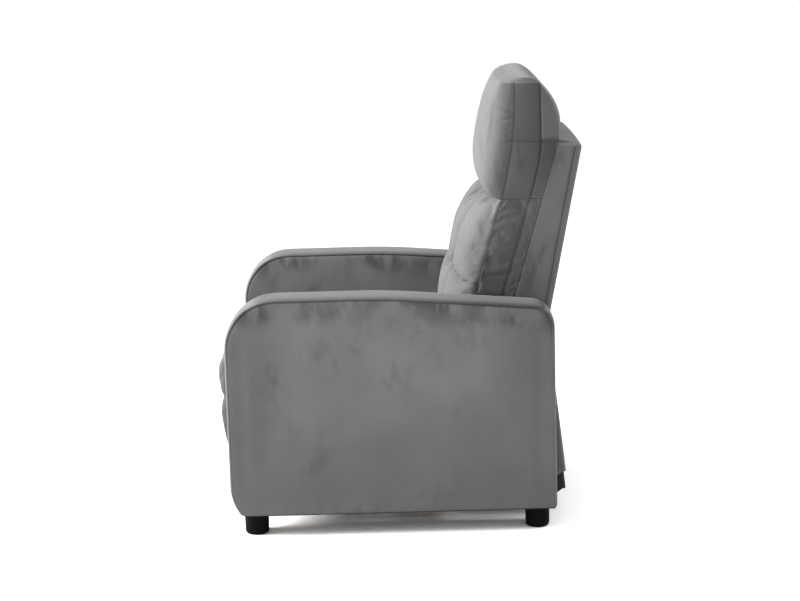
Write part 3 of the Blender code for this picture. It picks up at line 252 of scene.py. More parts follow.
def planed_pine(name):
    """Planed softwood: noise of 9 mm, drawn out along the rail, makes late-wood lines on a paler brown."""
    look, tree = new_material(name)
    place = add(tree, "ShaderNodeTexCoord").outputs["Object"]
    drawn = add(tree, "ShaderNodeMapping", {"Vector": place, "Scale": (0.06, 1.0, 1.0)}).outputs["Vector"]
    rings = add(tree, "ShaderNodeTexNoise", {
        "Vector": drawn, "Scale": per(9), "Detail": 5.0, "Distortion": 0.8}).outputs["Fac"]
    grain = add(tree, "ShaderNodeValToRGB", {"Fac": rings})
    for stop, position, tone in zip(grain.color_ramp.elements, (0.35, 0.62), ("75634d", "968062")):
        stop.position = position
        stop.color = linear(tone)
    fibre = add(tree, "ShaderNodeBump", {"Height": rings, "Strength": 0.2, "Distance": 0.5 * MM})
    shader = add(tree, "ShaderNodeBsdfPrincipled", {
        "Base Color": grain.outputs["Color"], "Normal": fibre.outputs["Normal"], "Roughness": 0.62})
    add(tree, "ShaderNodeOutputMaterial", {"Surface": shader.outputs["BSDF"]})
    return look


def black_skin(name, grit, cloud, tones, gloss, relief, specular):
    """A black surface: fine noise makes its bump, and broad noise shifts its tone and roughness a little."""
    look, tree = new_material(name)
    place = add(tree, "ShaderNodeTexCoord").outputs["Object"]
    grains = [add(tree, "ShaderNodeTexNoise", {"Vector": place, "Scale": per(size), "Detail": detail})
              for size, detail in ((grit, 2.0), (cloud, 4.0))]
    fine, broad = [noise.outputs["Fac"] for noise in grains]
    tint = add(tree, "ShaderNodeMix", {"Factor": broad, "A": linear(tones[0]), "B": linear(tones[1])},
               data_type="RGBA")
    rough = add(tree, "ShaderNodeMapRange", {"Value": broad, "To Min": gloss[0], "To Max": gloss[1]})
    skin = add(tree, "ShaderNodeBump", {"Height": fine, "Strength": relief, "Distance": 0.3 * MM})
    shader = add(tree, "ShaderNodeBsdfPrincipled", {
        "Base Color": tint.outputs["Result"], "Roughness": rough.outputs["Result"],
        "Normal": skin.outputs["Normal"], "Specular IOR Level": specular})
    add(tree, "ShaderNodeOutputMaterial", {"Surface": shader.outputs["BSDF"]})
    return look


def woven_cloth(name, thread, dark, pale):
    """Woven or pressed cloth: two sets of waves, multiplied, that show as fine ribs both ways."""
    look, tree = new_material(name)
    place = add(tree, "ShaderNodeTexCoord").outputs["Object"]
    ribs = [
        add(tree, "ShaderNodeTexWave", {
            "Vector": place, "Scale": per(thread) / math.tau, "Distortion": 0.4}, bands_direction=way)
        for way in ("X", "Z")]
    cross = add(tree, "ShaderNodeMath", {0: ribs[0].outputs["Fac"], 1: ribs[1].outputs["Fac"]},
                operation="MULTIPLY").outputs["Value"]
    tint = add(tree, "ShaderNodeMix", {"Factor": cross, "A": linear(dark), "B": linear(pale)},
               data_type="RGBA")
    weave = add(tree, "ShaderNodeBump", {"Height": cross, "Strength": 0.4, "Distance": 0.6 * MM})
    shader = add(tree, "ShaderNodeBsdfPrincipled", {
        "Base Color": tint.outputs["Result"], "Normal": weave.outputs["Normal"], "Roughness": 0.85})
    add(tree, "ShaderNodeOutputMaterial", {"Surface": shader.outputs["BSDF"]})
    return look


# Satin paint shows a soft orange-peel shine; the plastic's spark-eroded texture takes nearly all shine away.
FRAME_LOOKS = {
    "wood": planed_pine("planed pine"),
    "steel": black_skin("pressed steel, satin black paint", grit=1.5, cloud=40,
                        tones=("1b1b1d", "2e2e31"), gloss=(0.32, 0.5), relief=0.15, specular=0.5),
    "webbing": woven_cloth("woven elastic webbing", 3.0, "1d1d20", "3a3a3f"),
    "lining": woven_cloth("black non-woven lining", 2.0, "060607", "141416"),
    "black_plastic": black_skin("moulded black polypropylene", grit=0.9, cloud=14,
                                tones=("020202", "070707"), gloss=(0.5, 0.65), relief=0.2, specular=0.04),
    "velvet": VELVET,
    "shell_velvet": SHELL_VELVET,
}
for part in frame["record"]["subparts"]:
    shown = frame["nodes"][part["node"]]
    shown.data.materials.clear()
    shown.data.materials.append(FRAME_LOOKS[part["material_slot"]])

# %% [markdown]
# ## Putting a piece in its place
# Each new piece rides on a body of the frame, stands for the plain solids that it covers, and takes its
# finish from one slot of the record. One helper does this for all pieces, so that none is forgotten.

# %% Placing helper


def fit_piece(item, body, slot, *nodes):
    """Gives a piece its finish and body, and hides the solids that it stands for."""
    item.data.materials.append(FRAME_LOOKS[slot])
    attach(item, body)
    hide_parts(*nodes)
    print(item.name, "rides on", body, "with", len(item.data.vertices), "points")


def soften(item):
    """One level of subdivision, the same in the view and the render."""
    finer = item.modifiers.new("finer", "SUBSURF")
    finer.levels = finer.render_levels = 1


print("placing helper ready")

# %% [markdown]
# ## Arms
# Each arm is two flat padded faces with a crowned band sewn round its top, front and rear. It could be a
# bevelled box, but a maker cuts the faces to one outline and sews the band along it, so the form here is a
# profile carried round that outline: out over the band, down into the seam, and on across the face to its
# middle. The outer face swells a little, and the bottom is square, where the cover is stapled to the frame.

# %% Arm outline
ARM_FRONT, ARM_REAR, ARM_BOTTOM = -0.388, 0.3445, 0.053
ARM_TOP, ARM_REAR_TOP, CREST_Y = 0.546, 0.514, -0.03
# Each corner: y, z, radius, and which way y and z go when the outline is moved in.
ARM_CORNERS = (
    (-0.366, ARM_BOTTOM, 0.004, 1, 1),
    (ARM_FRONT, 0.087, 0.11, 1, 1),
    (ARM_FRONT, ARM_TOP, 0.112, 1, -1),
    (CREST_Y, ARM_TOP, 1.6, 0, -1),
    (ARM_REAR, ARM_REAR_TOP, 0.048, -1, -1),
    (ARM_REAR, ARM_BOTTOM, 0.004, -1, 1),
)
# How many points lie on the side after each corner, and on each corner's arc.
SIDE_STEPS, ARC_STEPS = (3, 26, 18, 26, 34, 40), (5, 9, 22, 8, 16, 5)
LEAST_RADIUS = 0.0015


def rounded_loop(corners, side_steps, arc_steps):
    """A closed loop of sides and arcs that always has the same number of points.

    An arc's centre lies on its corner's bisector, at the radius over the sine of the half angle.
    """
    places = np.array(corners)[:, :2]
    arcs = []
    for index, (place, (_, _, radius)) in enumerate(zip(places, corners)):
        before = places[index - 1] - place
        after = places[(index + 1) % len(places)] - place
        before, after = before / np.linalg.norm(before), after / np.linalg.norm(after)
        half = math.acos(np.clip(before @ after, -1, 1)) / 2
        centre = place + (before + after) / np.linalg.norm(before + after) * radius / math.sin(half)
        start, end = place + before * radius / math.tan(half), place + after * radius / math.tan(half)
        first = math.atan2(*(start - centre)[::-1])
        turn = (math.atan2(*(end - centre)[::-1]) - first + math.pi) % math.tau - math.pi
        angles = first + turn * np.linspace(0, 1, arc_steps[index])
        arcs.append(centre + radius * np.stack([np.cos(angles), np.sin(angles)], axis=-1))
    loop = []
    for index, arc in enumerate(arcs):
        following = arcs[(index + 1) % len(arcs)]
        share = np.linspace(0, 1, side_steps[index] + 2)[1:-1, None]
        loop += [arc, arc[-1] + (following[0] - arc[-1]) * share]
    return np.concatenate(loop)


def arm_ring(inset):
    """The arm's outline moved inwards by a distance; its bottom only moves in, never out."""
    moved = []
    for y, z, radius, ahead, up in ARM_CORNERS:
        rise = max(inset, 0.0) if up > 0 else up * inset
        smaller = max(inset, 0.0) if up > 0 else inset
        moved.append((y + ahead * inset, z + rise, max(radius - smaller, LEAST_RADIUS)))
    return rounded_loop(moved, SIDE_STEPS, ARC_STEPS)


print("arm outline of", len(arm_ring(0.0)), "points")

# %% Arm surface
ARM_MIDDLE = 0.2925
BAND_HALF, BAND_CROWN, BAND_POWER = 0.0468, 0.005, 0.62
SEAM_INSET, SEAM_HALF, SEAM_LIP = 0.003, 0.0447, 0.0012
FACE_HALF, FACE_SWELL, FACE_TURN = 0.0474, 0.0028, 0.003
FACE_STEPS = np.array([0.0012, 0.0026, 0.005, 0.009, 0.017, 0.030])
BAND_STEPS, FACE_RINGS = 15, 15
# The line that the rings of a face shrink on to.
CORE_FRONT, CORE_REAR, CORE_Z = -0.17, 0.13, 0.285
# The middle of the outer face's swell, and how far it reaches each way.
SWELL_Y, SWELL_Z, SWELL_REACH_Y, SWELL_REACH_Z = -0.02, 0.295, 0.39, 0.26
# Heights between which the seam's depth grows: at the square bottom, and below the top.
SQUARE_FADE, SHALLOW_FADE, SHALLOW = (ARM_BOTTOM + 0.004, ARM_BOTTOM + 0.03), (0.42, 0.5), 0.8
FLUSH_HALF = FACE_HALF - 0.0006


def arm_profile():
    """From the band's middle outwards: a flattened ellipse to the seam, then a face that rises from it."""
    angle = np.linspace(0, math.pi / 2, BAND_STEPS)
    across = BAND_HALF * np.sin(angle) ** BAND_POWER
    inset = -BAND_CROWN + (SEAM_INSET - SEAM_LIP + BAND_CROWN) * (1 - np.cos(angle) ** BAND_POWER)
    rise = FACE_HALF - (FACE_HALF - SEAM_HALF) * np.exp(-FACE_STEPS / FACE_TURN)
    face = np.stack([SEAM_INSET + FACE_STEPS, rise], axis=-1)
    return np.concatenate([np.stack([inset, across], axis=-1), [(SEAM_INSET, SEAM_HALF)], face])


def arm_surface(side):
    """Rings of the profile round the outline, then rings that shrink on to a line.

    The outer face swells to its middle by one minus a fourth power each way. The seam is shallower below
    the top and flush at the bottom.
    """
    half_rings = []
    for inset, across in arm_profile():
        ring = arm_ring(inset)
        square = 1 - smooth_step(ring[:, 1], *SQUARE_FADE)
        shallow = SHALLOW * (1 - smooth_step(ring[:, 1], *SHALLOW_FADE))
        flush = FLUSH_HALF if inset >= SEAM_INSET else across
        half_rings.append((ring, across + np.maximum(square, shallow) * (flush - across)))
    last = half_rings[-1][0]
    core = np.stack([np.clip(last[:, 0], CORE_FRONT, CORE_REAR), np.full(len(last), CORE_Z)], axis=-1)
    rows = {}
    for facing, swell in ((1, FACE_SWELL), (-1, 0.0)):
        rings = [np.column_stack([side * (ARM_MIDDLE + facing * across), ring[:, 0], ring[:, 1]])
                 for ring, across in half_rings]
        for share in np.linspace(0, 1, FACE_RINGS)[1:]:
            ring = last + (core - last) * share
            rise = 1 - ((ring[:, 0] - SWELL_Y) / SWELL_REACH_Y) ** 4
            rise *= 1 - ((ring[:, 1] - SWELL_Z) / SWELL_REACH_Z) ** 4
            bulge = FACE_HALF + swell * np.clip(rise, 0.0, None)
            rings.append(np.column_stack([side * (ARM_MIDDLE + facing * bulge), ring]))
        rows[facing] = rings
    return np.stack(rows[-1][::-1] + rows[1][1:])


surfaces = {word: arm_surface(side) for word, side in SIDES}
print("arm grids of", surfaces["left"].shape[:2], "points")

# %% Arm pieces and their marks
# How much the top falls per metre behind its crest, and how far out from the arm's middle a face starts.
ARM_FALL, FACE_START = 0.0854, 0.0435
BAND_DEPTH, SEAM_LINE, SEAM_REACH = 0.004, 0.0012, 0.0025


def arm(word):
    """One arm with its seam darkened, a strip for runs below the seam, painted shade low down and on the
    band, and darker ends.
    """
    item = welded(word + "_arm", [surfaces[word]], closed=True)
    points = points_of(item)
    aside = np.abs(np.abs(points[:, 0]) - ARM_MIDDLE)
    depth = ARM_TOP - ARM_FALL * np.clip(points[:, 1] - CREST_Y, 0, None) - points[:, 2]
    face = aside > FACE_START
    # Runs start just below the seam and fade out 70 mm further down.
    strip = smooth_step(depth, 0.002, 0.006) * (1 - smooth_step(depth, 0.02, 0.07))
    note_points(item, "run", face * strip)
    seam_line = arm_ring(SEAM_INSET)
    edge = np.linalg.norm(points[:, None, 1:] - seam_line[None, :, :], axis=-1).min(axis=1)
    # The seam is a dark line along the top and a faint one down the front and the rear.
    upper = 0.12 + 0.78 * smooth_step(points[:, 2], 0.42, 0.52)
    note_points(item, "seam", valley(edge, SEAM_LINE) * (np.abs(aside - SEAM_HALF) < SEAM_REACH) * upper)
    # Painted shade darkens the face low down, where less light falls, and the band towards the rear, where
    # the back shades it.
    # The band is darker all along, partly its own nap and partly painted shade on its lit top; the face
    # darkens towards both ends.
    painted_low_shade = 0.45 * (1 - smooth_step(points[:, 2], 0.08, 0.36))
    front = 0.45 * (1 - smooth_step(points[:, 1], -0.36, -0.2))
    rear = 0.34 * smooth_step(points[:, 1], 0.16, 0.32)
    band = 0.45 + 0.5 * smooth_step(points[:, 1], 0.0, 0.2)
    note_points(item, "nap_and_shade", np.where(depth < BAND_DEPTH, band, np.maximum(painted_low_shade, front + rear) * face))
    soften(item)
    fit_piece(item, "base", "velvet", word + "_arm_cover")


for word, side in SIDES:
    arm(word)

# %% [markdown]
# ## Lining under the arms
# Black non-woven cloth is stapled under each arm and shows as a thin dark line above the feet. It could be
# a plane with a wall, but it is stretched flat, so a thin closed slab is enough.

# %% Arm linings
LINING_THICK, LINING_DROP, LINING_HALF = 0.0022, 0.0002, 0.0455
LINING_FRONT, LINING_REAR = -0.361, 0.3435


def lining_sheet(word, side):
    """A flat strip, thin and closed: two levels of one grid, and four rims that join their edges."""
    across = np.linspace(-1, 1, 9)
    along = np.linspace(LINING_FRONT, LINING_REAR, 60)
    x, y = np.meshgrid(side * (ARM_MIDDLE + LINING_HALF * across), along, indexing="ij")
    top = ARM_BOTTOM - LINING_DROP
    under, over = [np.stack([x, y, np.full_like(x, level)], axis=-1) for level in (top - LINING_THICK, top)]
    rims = [np.stack([under[end], over[end]]) for end in (0, -1)]
    rims += [np.stack([under[:, end], over[:, end]]) for end in (0, -1)]
    item = welded(word + "_arm_lining", [under, over] + rims)
    item.data.shade_flat()
    fit_piece(item, "base", "lining", word + "_arm_dust_cover")


for word, side in SIDES:
    lining_sheet(word, side)

# %% [markdown]
# ## Feet
# The feet are plain moulded plugs, 57 mm across. A bevelled cylinder would do, but a profile that is turned
# once about its axis keeps every radius as a number: a small draft, a rounded foot edge and a narrow flange.

# %% Feet
# Radius and height, from the middle of the top to the middle of the underside.
FOOT_PROFILE = np.array([
    (0.0, 0.0502), (0.0278, 0.0502), (0.0285, 0.0494), (0.0285, 0.0462), (0.0279, 0.0452), (0.0276, 0.03),
    (0.0272, 0.0075), (0.0266, 0.0038), (0.0249, 0.0014), (0.0222, 0.0), (0.0, 0.0)])
FOOT_ENDS = (("front", -0.337), ("rear", 0.305))
SHARP_EDGE = math.radians(50)


def foot(word, end, x, y):
    """The profile turned: radius times cosine and sine of the angle, at each height."""
    angle = np.linspace(0, math.tau, 72, endpoint=False)
    radius, height = FOOT_PROFILE.T
    grid = np.stack([x + np.outer(radius, np.cos(angle)), y + np.outer(radius, np.sin(angle)),
                     np.outer(height, np.ones_like(angle))], axis=-1)
    item = welded(f"{word}_{end}_foot_plug", [grid], closed=True)
    item.data.set_sharp_from_angle(angle=SHARP_EDGE)
    fit_piece(item, "base", "black_plastic", f"{word}_{end}_foot")


for word, side in SIDES:
    for end, y in FOOT_ENDS:
        foot(word, end, side * ARM_MIDDLE, y)

# %% [markdown]
# ## Cushions as six-sided blocks
# A cushion could start as a subdivided cube that is pulled into shape. Here it is the same cube in numbers:
# six faces that are grids, whose points have three cube coordinates from -1 to 1. One formula turns these
# into a place on the cushion, so the edges of the cube become the sewn edges. Grid lines crowd towards the
# edges, where the cover turns.

# %% Block helper and back lines
BACK_TILT = math.tan(math.radians(16.4))
SEAM_TURN_Z = 0.73
# Rear edge of the side panels, measured up the back: heights and how far back.
REAR_SEAM_Z = (0.45, 0.521, 0.709, 0.779, 0.83, 0.871, 1.013, 1.05)
REAR_SEAM_Y = (0.217, 0.238, 0.293, 0.313, 0.3255, 0.3305, 0.330, 0.329)


def ticks(count):
    """Places from -1 to 1 that crowd towards both ends: an even row mixed with its own sine."""
    even = np.linspace(-1, 1, count)
    return 0.45 * even + 0.55 * np.sin(even * math.pi / 2)


def block(name, shape, counts):
    """Six grids, one per face of a cube, moved by a formula and welded along the edges."""
    grids = []
    for axis in range(3):
        first, second = [ticks(counts[other]) for other in range(3) if other != axis]
        for end in (-1.0, 1.0):
            cube = list(np.meshgrid(first, second, indexing="ij"))
            cube.insert(axis, np.full_like(cube[0], end))
            grids.append(shape(*cube))
    return welded(name, grids)


def dome(value, power=4):
    """1 in the middle, falling to 0 at -1 and 1 like the side of a pillow."""
    return np.sqrt(np.clip(1 - np.abs(value) ** power, 0.0, None))


def shell_line(z):
    """Where the cushions meet the shell: a straight line that leans by 16.4 degrees."""
    return 0.264 + BACK_TILT * (z - 0.514)


def front_seam(z):
    """Front edge of the side panels: the same lean, turning upright above 0.73 m as a parabola."""
    rise = z - SEAM_TURN_Z
    return 0.235 + BACK_TILT * rise - 0.575 * np.clip(rise, 0.0, None) ** 2


def rear_seam(z):
    """Rear edge of the side panels: straight between the measured points."""
    return np.interp(z, REAR_SEAM_Z, REAR_SEAM_Y)


print("seams at 0.6 m: front", round(float(front_seam(0.6)), 3), "rear", round(float(rear_seam(0.6)), 3))

# %% [markdown]
# ## Filling a cushion
# A cover is cut a little larger than its filling and is held at the seams, so it swells between them and
# puckers beside them. Sculpting could imitate that; Blender's cloth does it by itself, with pressure inside,
# no gravity and the seams held. Each point's way is capped, so that a cushion keeps its measured size, and
# the start is drawn a little slimmer. The lumbar, seat and footrest pads are filled like this. The headrest
# is packed too tight to wrinkle, so it is drawn as it is.

# %% Cloth helper
LAST_FRAME, FILL_PRESSURE = 20, 4.0


def fill(item, held, limit, slack):
    """Frames of cloth under pressure, larger by the slack, with held points still and a limit per point."""
    start = points_of(item)
    seams = item.vertex_groups.new(name="held")
    seams.add(np.flatnonzero(held).tolist(), 1.0, "REPLACE")
    cloth = item.modifiers.new("cover", "CLOTH")
    cloth.settings.quality = 4
    cloth.settings.mass = 0.3
    cloth.settings.air_damping = 3.0
    cloth.settings.tension_stiffness = cloth.settings.compression_stiffness = 25.0
    cloth.settings.shear_stiffness = 12.0
    cloth.settings.bending_stiffness = 1.0
    cloth.settings.use_pressure = True
    cloth.settings.uniform_pressure_force = FILL_PRESSURE
    cloth.settings.shrink_min = -slack
    cloth.settings.vertex_group_mass = seams.name
    cloth.settings.effector_weights.gravity = 0.0
    cloth.collision_settings.use_collision = False
    cloth.point_cache.frame_start, cloth.point_cache.frame_end = 1, LAST_FRAME
    for moment in range(1, LAST_FRAME + 1):
        bpy.context.scene.frame_set(moment)
    graph = bpy.context.evaluated_depsgraph_get()
    way = points_of(item.evaluated_get(graph)) - start
    item.modifiers.remove(cloth)
    item.vertex_groups.remove(seams)
    bpy.context.scene.frame_set(1)
    length = np.linalg.norm(way, axis=1)
    move_points(item, start + way * (limit / np.maximum(length, limit))[:, None])
    mean_way = 1000 * float(np.minimum(length, limit).mean())
    print(item.name, "swelled by", round(mean_way, 1), "mm on average")


print("cloth helper ready:", LAST_FRAME, "frames a cushion")

# %% [markdown]
# ## Lumbar cushion
# The lower back is one pad sewn into three upright channels, with a cross seam that is pulled in where it
# meets the channels. Its side panel has a second seam behind the first and is cut with the nap the other
# way, so it is darker. Two shallow folds cross it under the headrest, where the cover is slack. The
# channels are in the formula, because cloth alone would not find its seams; the cloth then adds the swell.

# %% Lumbar shape
BACK_HALF, LUMBAR_BOTTOM, LUMBAR_TOP, LUMBAR_CROWN = 0.2345, 0.43, 0.7455, 0.067
CHANNEL_X, TUFT_Z = 0.09, 0.585
# The cross seam sags away from the channels, which lie at this share of the half-width.
TUFT_SAG, TUFT_SHARE = 0.05, 0.38
SHELL_GAP = 0.0003
# Points this close to a seam are held, and others may swell this far.
HOLD, FRONT_SWELL, SIDE_SWELL, LUMBAR_SLACK = 0.003, 0.011, 0.004, 0.03


def channel_distance(x):
    """How far a point is from the nearer of the two channel seams."""
    return np.abs(np.abs(x) - CHANNEL_X)


def channel_depth(x, along, tuft, seam=0.019, cross=0.011, pull=0.012):
    """How far two seams, the cross seam and its pulled points draw the cover in."""
    near = channel_distance(x)
    depth = np.maximum(seam * valley(near, 0.014), cross * valley(along - tuft, 0.010))
    return depth + pull * valley(np.hypot(near, along - tuft), 0.024)


def lumbar_shape(a, b, c):
    """Front: side seam minus a crown that is full in the middle; rear: the shell line; straight between."""
    x = a * BACK_HALF * (1 - 0.02 * np.clip(-c, 0.0, None) ** 8)
    z = (LUMBAR_BOTTOM + LUMBAR_TOP) / 2 + c * (LUMBAR_TOP - LUMBAR_BOTTOM) / 2
    tuft = TUFT_Z - TUFT_SAG * np.abs(np.abs(a) - TUFT_SHARE)
    front = front_seam(z) - (LUMBAR_CROWN - channel_depth(x, z, tuft)) * (dome(a) * dome(c))
    rear = shell_line(z) - SHELL_GAP
    return np.stack([x, front + (rear - front) * (b + 1) / 2, z], axis=-1)


def back_lines(points):
    """How far each point is behind the front seam and from the rear seam, and its share in the side panel.

    The share fades over the last millimetres of the turn to the front.
    """
    behind = points[:, 1] - front_seam(points[:, 2])
    beside = np.abs(points[:, 1] - rear_seam(points[:, 2]))
    return behind, beside, smooth_step(np.abs(points[:, 0]), BACK_HALF - 0.016, BACK_HALF - 0.006)


lumbar = block("lumbar_cushion", lumbar_shape, (93, 29, 75))
points = points_of(lumbar)
behind, beside, flank = back_lines(points)
on_channel = (channel_distance(points[:, 0]) < HOLD) & (behind < -0.004)
ends = (points[:, 2] < LUMBAR_BOTTOM + 0.0005) | (points[:, 2] > LUMBAR_TOP - 0.0005)
on_shell = shell_line(points[:, 2]) - points[:, 1] < 0.004
sewn = (flank > 0.5) & ((np.abs(behind) < HOLD) | (beside < HOLD))
limit = np.where(behind < 0.002, FRONT_SWELL, SIDE_SWELL)
fill(lumbar, on_channel | on_shell | ends | sewn, limit, LUMBAR_SLACK)

# %% Lumbar seams
STITCH, GROOVE = 0.0016, 0.003
RIDGE_AHEAD, RIDGE_WIDTH = 0.006, 0.003


def stitches(points, behind, beside):
    """1 on both seams of the side panels, falling off within two millimetres."""
    near = np.maximum(valley(behind, STITCH), valley(beside, STITCH))
    return near * (np.abs(points[:, 0]) > BACK_HALF - 0.012)


def seam_ridge(behind, flank):
    """A low ridge just before the front seam, where its folded edges lie under the cover."""
    return valley(behind + RIDGE_AHEAD, RIDGE_WIDTH) * (1 - flank)


points = points_of(lumbar)
behind, beside, flank = back_lines(points)
height = points[:, 2]
folds = valley(height - 0.722 - 0.10 * behind, 0.006) + 0.8 * valley(height - 0.700 - 0.16 * behind, 0.007)
folds *= flank * smooth_step(behind, 0.004, 0.015) * (1 - smooth_step(behind, 0.045, 0.062))
groove = valley(beside, GROOVE) * flank * (1 - smooth_step(height, LUMBAR_TOP - 0.01, LUMBAR_TOP - 0.002))
press(lumbar, 0.0022 * groove + 0.004 * folds - 0.001 * seam_ridge(behind, flank))
cross = height - TUFT_Z + TUFT_SAG * np.abs(np.abs(points[:, 0]) / BACK_HALF - TUFT_SHARE)
sunk = np.maximum(valley(channel_distance(points[:, 0]), 0.003), 0.8 * valley(cross, 0.0026))
sunk *= behind < -0.006
note_points(lumbar, "seam", np.maximum(0.7 * stitches(points, behind, beside), 0.9 * sunk))
note_points(lumbar, "nap_and_shade", flank * smooth_step(behind, -0.002, 0.002) * 0.64)
soften(lumbar)
fit_piece(lumbar, "backrest", "velvet", "back_cushion")

# %% [markdown]
# ## Headrest
# The headrest is a plump pillow whose front rolls under at the bottom. Its side panel runs on from the
# lumbar cushion's, a crease crosses it where the frame inside ends, and above that the rear bulges out.
# Filled cloth would wrinkle right across it, so its front is an ellipse with a few puckers beside the seam.

# %% Headrest shape
HEAD_TOP, HEAD_CROWN = 1.0085, 0.0735
# The front is an ellipse that reaches this far below and above its crest.
CREST_Z, REACH_DOWN, REACH_UP = 0.855, 0.118, 0.169
CREASE_Z = 0.8775


def head_shape(a, b, c):
    """Front: side seam minus an elliptic crown with its crest at 0.855 m; rear: shell line, then a bulge.

    The top rises in a low arch from front to rear, and the sides draw in towards it.
    """
    share = (c + 1) / 2
    z = LUMBAR_TOP + SHELL_GAP + (HEAD_TOP - LUMBAR_TOP) * share
    reach = np.where(z < CREST_Z, REACH_DOWN, REACH_UP)
    front = front_seam(z) - HEAD_CROWN * dome((z - CREST_Z) / reach, 2) * dome(a, 2.6)
    over = np.clip((z - CREASE_Z) / (HEAD_TOP - CREASE_Z), 0.0, None)
    rear = shell_line(np.minimum(z, CREASE_Z)) - SHELL_GAP
    rear = rear - 0.041 * over ** 2 + 0.058 * over * (1 - over) * dome(a, 8)
    arch = 1 - b * b
    z = z + (0.012 * arch - 0.003 * np.abs(a) ** 6) * share ** 5
    x = a * BACK_HALF * (1 - 0.045 * np.clip(c, 0.0, None) ** 6)
    x = x + 0.005 * a ** 9 * arch * (1 - np.abs(c) ** 6)
    return np.stack([x, front + (rear - front) * (b + 1) / 2, z], axis=-1)


headrest = block("headrest", head_shape, (111, 51, 131))
print("headrest from", LUMBAR_TOP, "to", round(float(points_of(headrest)[:, 2].max()), 4), "m")

# %% Headrest seams
PUCKERS = np.array([0.873, 0.887, 0.901, 0.912, 0.929, 0.944, 0.958])
points = points_of(headrest)
behind, beside, flank = back_lines(points)
height = points[:, 2]
before_seam = 1 - smooth_step(behind, -0.004, 0.0)
crease = valley(height - CREASE_Z + 0.05 * behind, 0.004) * flank * smooth_step(behind, -0.03, 0.004)
# Each pucker leans its own way; the sine of its height gives a slope that looks left to chance.
slopes = 0.3 * np.sin(1000 * PUCKERS)
puckers = valley(height[:, None] - PUCKERS + behind[:, None] * slopes, 0.0035).sum(axis=1)
puckers *= smooth_step(behind, -0.05, -0.012) * before_seam
groove = valley(beside, GROOVE) * flank * smooth_step(height, LUMBAR_TOP + 0.002, LUMBAR_TOP + 0.01)
press(headrest, 0.002 * groove + 0.0018 * crease + 0.005 * puckers - 0.001 * seam_ridge(behind, flank))
# The crease is darkened along with the seams, as painted shade in its fold.
note_points(headrest, "seam", np.maximum(0.9 * stitches(points, behind, beside), 0.35 * crease ** 4))
# Above the crease the rear bulge gets less nap, so it is paler: a painted highlight where light falls on it.
bulge = smooth_step(height, CREASE_Z, CREASE_Z + 0.01) * (points[:, 1] > rear_seam(height))
panel = 0.64 + 0.2 * smooth_step(height, 0.76, 0.9) - 0.45 * bulge
# Painted shade: the front darkens as it turns towards the side seam, away from the key light.
turned = smooth_step(behind, -0.07, -0.01) * smooth_step(np.abs(points[:, 0]), 0.12, 0.2) * before_seam
turned = np.maximum(turned, flank * smooth_step(behind, -0.002, 0.002) * panel)
# The top is darkened by a fixed share, as painted shade.
note_points(headrest, "nap_and_shade", np.where(height < HEAD_TOP - 0.003, turned, 0.3))
fit_piece(headrest, "backrest", "velvet", "headrest_cushion")

# %% [markdown]
# ## Seat cushion
# The seat lies between the arms, and it follows the lumbar cushion: three channels with a cross seam, a
# crowned top and a front edge that rolls over towards the footrest. The same block and the same channel
# formula make it, so that both cushions look sewn by one hand.

# %% Seat cushion
SEAT_HALF, SEAT_FRONT, SEAT_REAR = 0.2392, -0.355, 0.15
SEAT_BASE, SEAT_SIDE, SEAT_CROWN, SEAT_TUFT_Y = 0.3756, 0.416, 0.0335, -0.085
# Its top starts here, and it may swell this far.
SEAT_TOP, SEAT_SWELL, SEAT_SLACK = SEAT_SIDE - 0.012, 0.009, 0.025


def seat_shape(a, b, c):
    """Top: side height plus a crown, less the seams; front edges drawn back as a roll."""
    x = a * SEAT_HALF * (1 - 0.02 * np.abs(b) ** 8)
    depth = (SEAT_REAR - SEAT_FRONT) / 2
    y = SEAT_FRONT + depth * (1 + b * (1 - 0.02 * np.abs(a) ** 8))
    sunk = channel_depth(x, y, SEAT_TUFT_Y, 0.016, 0.009, 0.010)
    top = SEAT_SIDE + (SEAT_CROWN - sunk) * (dome(a) * dome(b))
    y = y + 0.012 * c * c * np.clip(b, None, 0.0) ** 8
    return np.stack([x, y, SEAT_BASE + (top - SEAT_BASE) * (c + 1) / 2], axis=-1)


seat = block("seat_pad", seat_shape, (97, 97, 15))
points = points_of(seat)
ahead = np.minimum(points[:, 1] - SEAT_FRONT, SEAT_REAR - points[:, 1])
edge = np.minimum(SEAT_HALF - np.abs(points[:, 0]), ahead)
on_channel = (channel_distance(points[:, 0]) < HOLD) & (points[:, 2] > SEAT_TOP)
held = on_channel | (points[:, 2] < SEAT_BASE + 0.02) | (edge < 0.002)
fill(seat, held, np.full(len(points), SEAT_SWELL), SEAT_SLACK)
points = points_of(seat)
sunk = valley(channel_distance(points[:, 0]), 0.0018) * (points[:, 2] > SEAT_TOP)
note_points(seat, "seam", 0.75 * sunk)
soften(seat)
fit_piece(seat, "seat", "velvet", "seat_cushion")

# %% [markdown]
# ## Footrest pad
# The footrest board carries a pad that is fullest near its top, with one seam across and a flatter band
# below. It stands a little proud of the arms, so its edge shows beside them. A lip at its top covers the
# board's edge. It is the cushions' block again, with its formula turned to face forwards.

# %% Footrest pad
FOOTREST_HALF, FOOTREST_REAR, FOOTREST_LOW, FOOTREST_HIGH = 0.2375, -0.3705, 0.095, 0.416
FOOTREST_EDGE, BAND_FRONT, FOOTREST_SWELL = -0.39, -0.400, 0.0185
CROSS_Z, BAND_Z = 0.296, 0.165
TOP_SLOPE, LIP_LOW, LIP_HIGH, LIP_REACH = 0.022, 0.4122, 0.4136, 0.0135
# The pad's sides and rear lie behind the first, its seams before the second; it may swell this far.
PAD_SIDE, PAD_SEAM, PAD_SWELL, PAD_SLACK = -0.385, -0.388, 0.005, 0.02


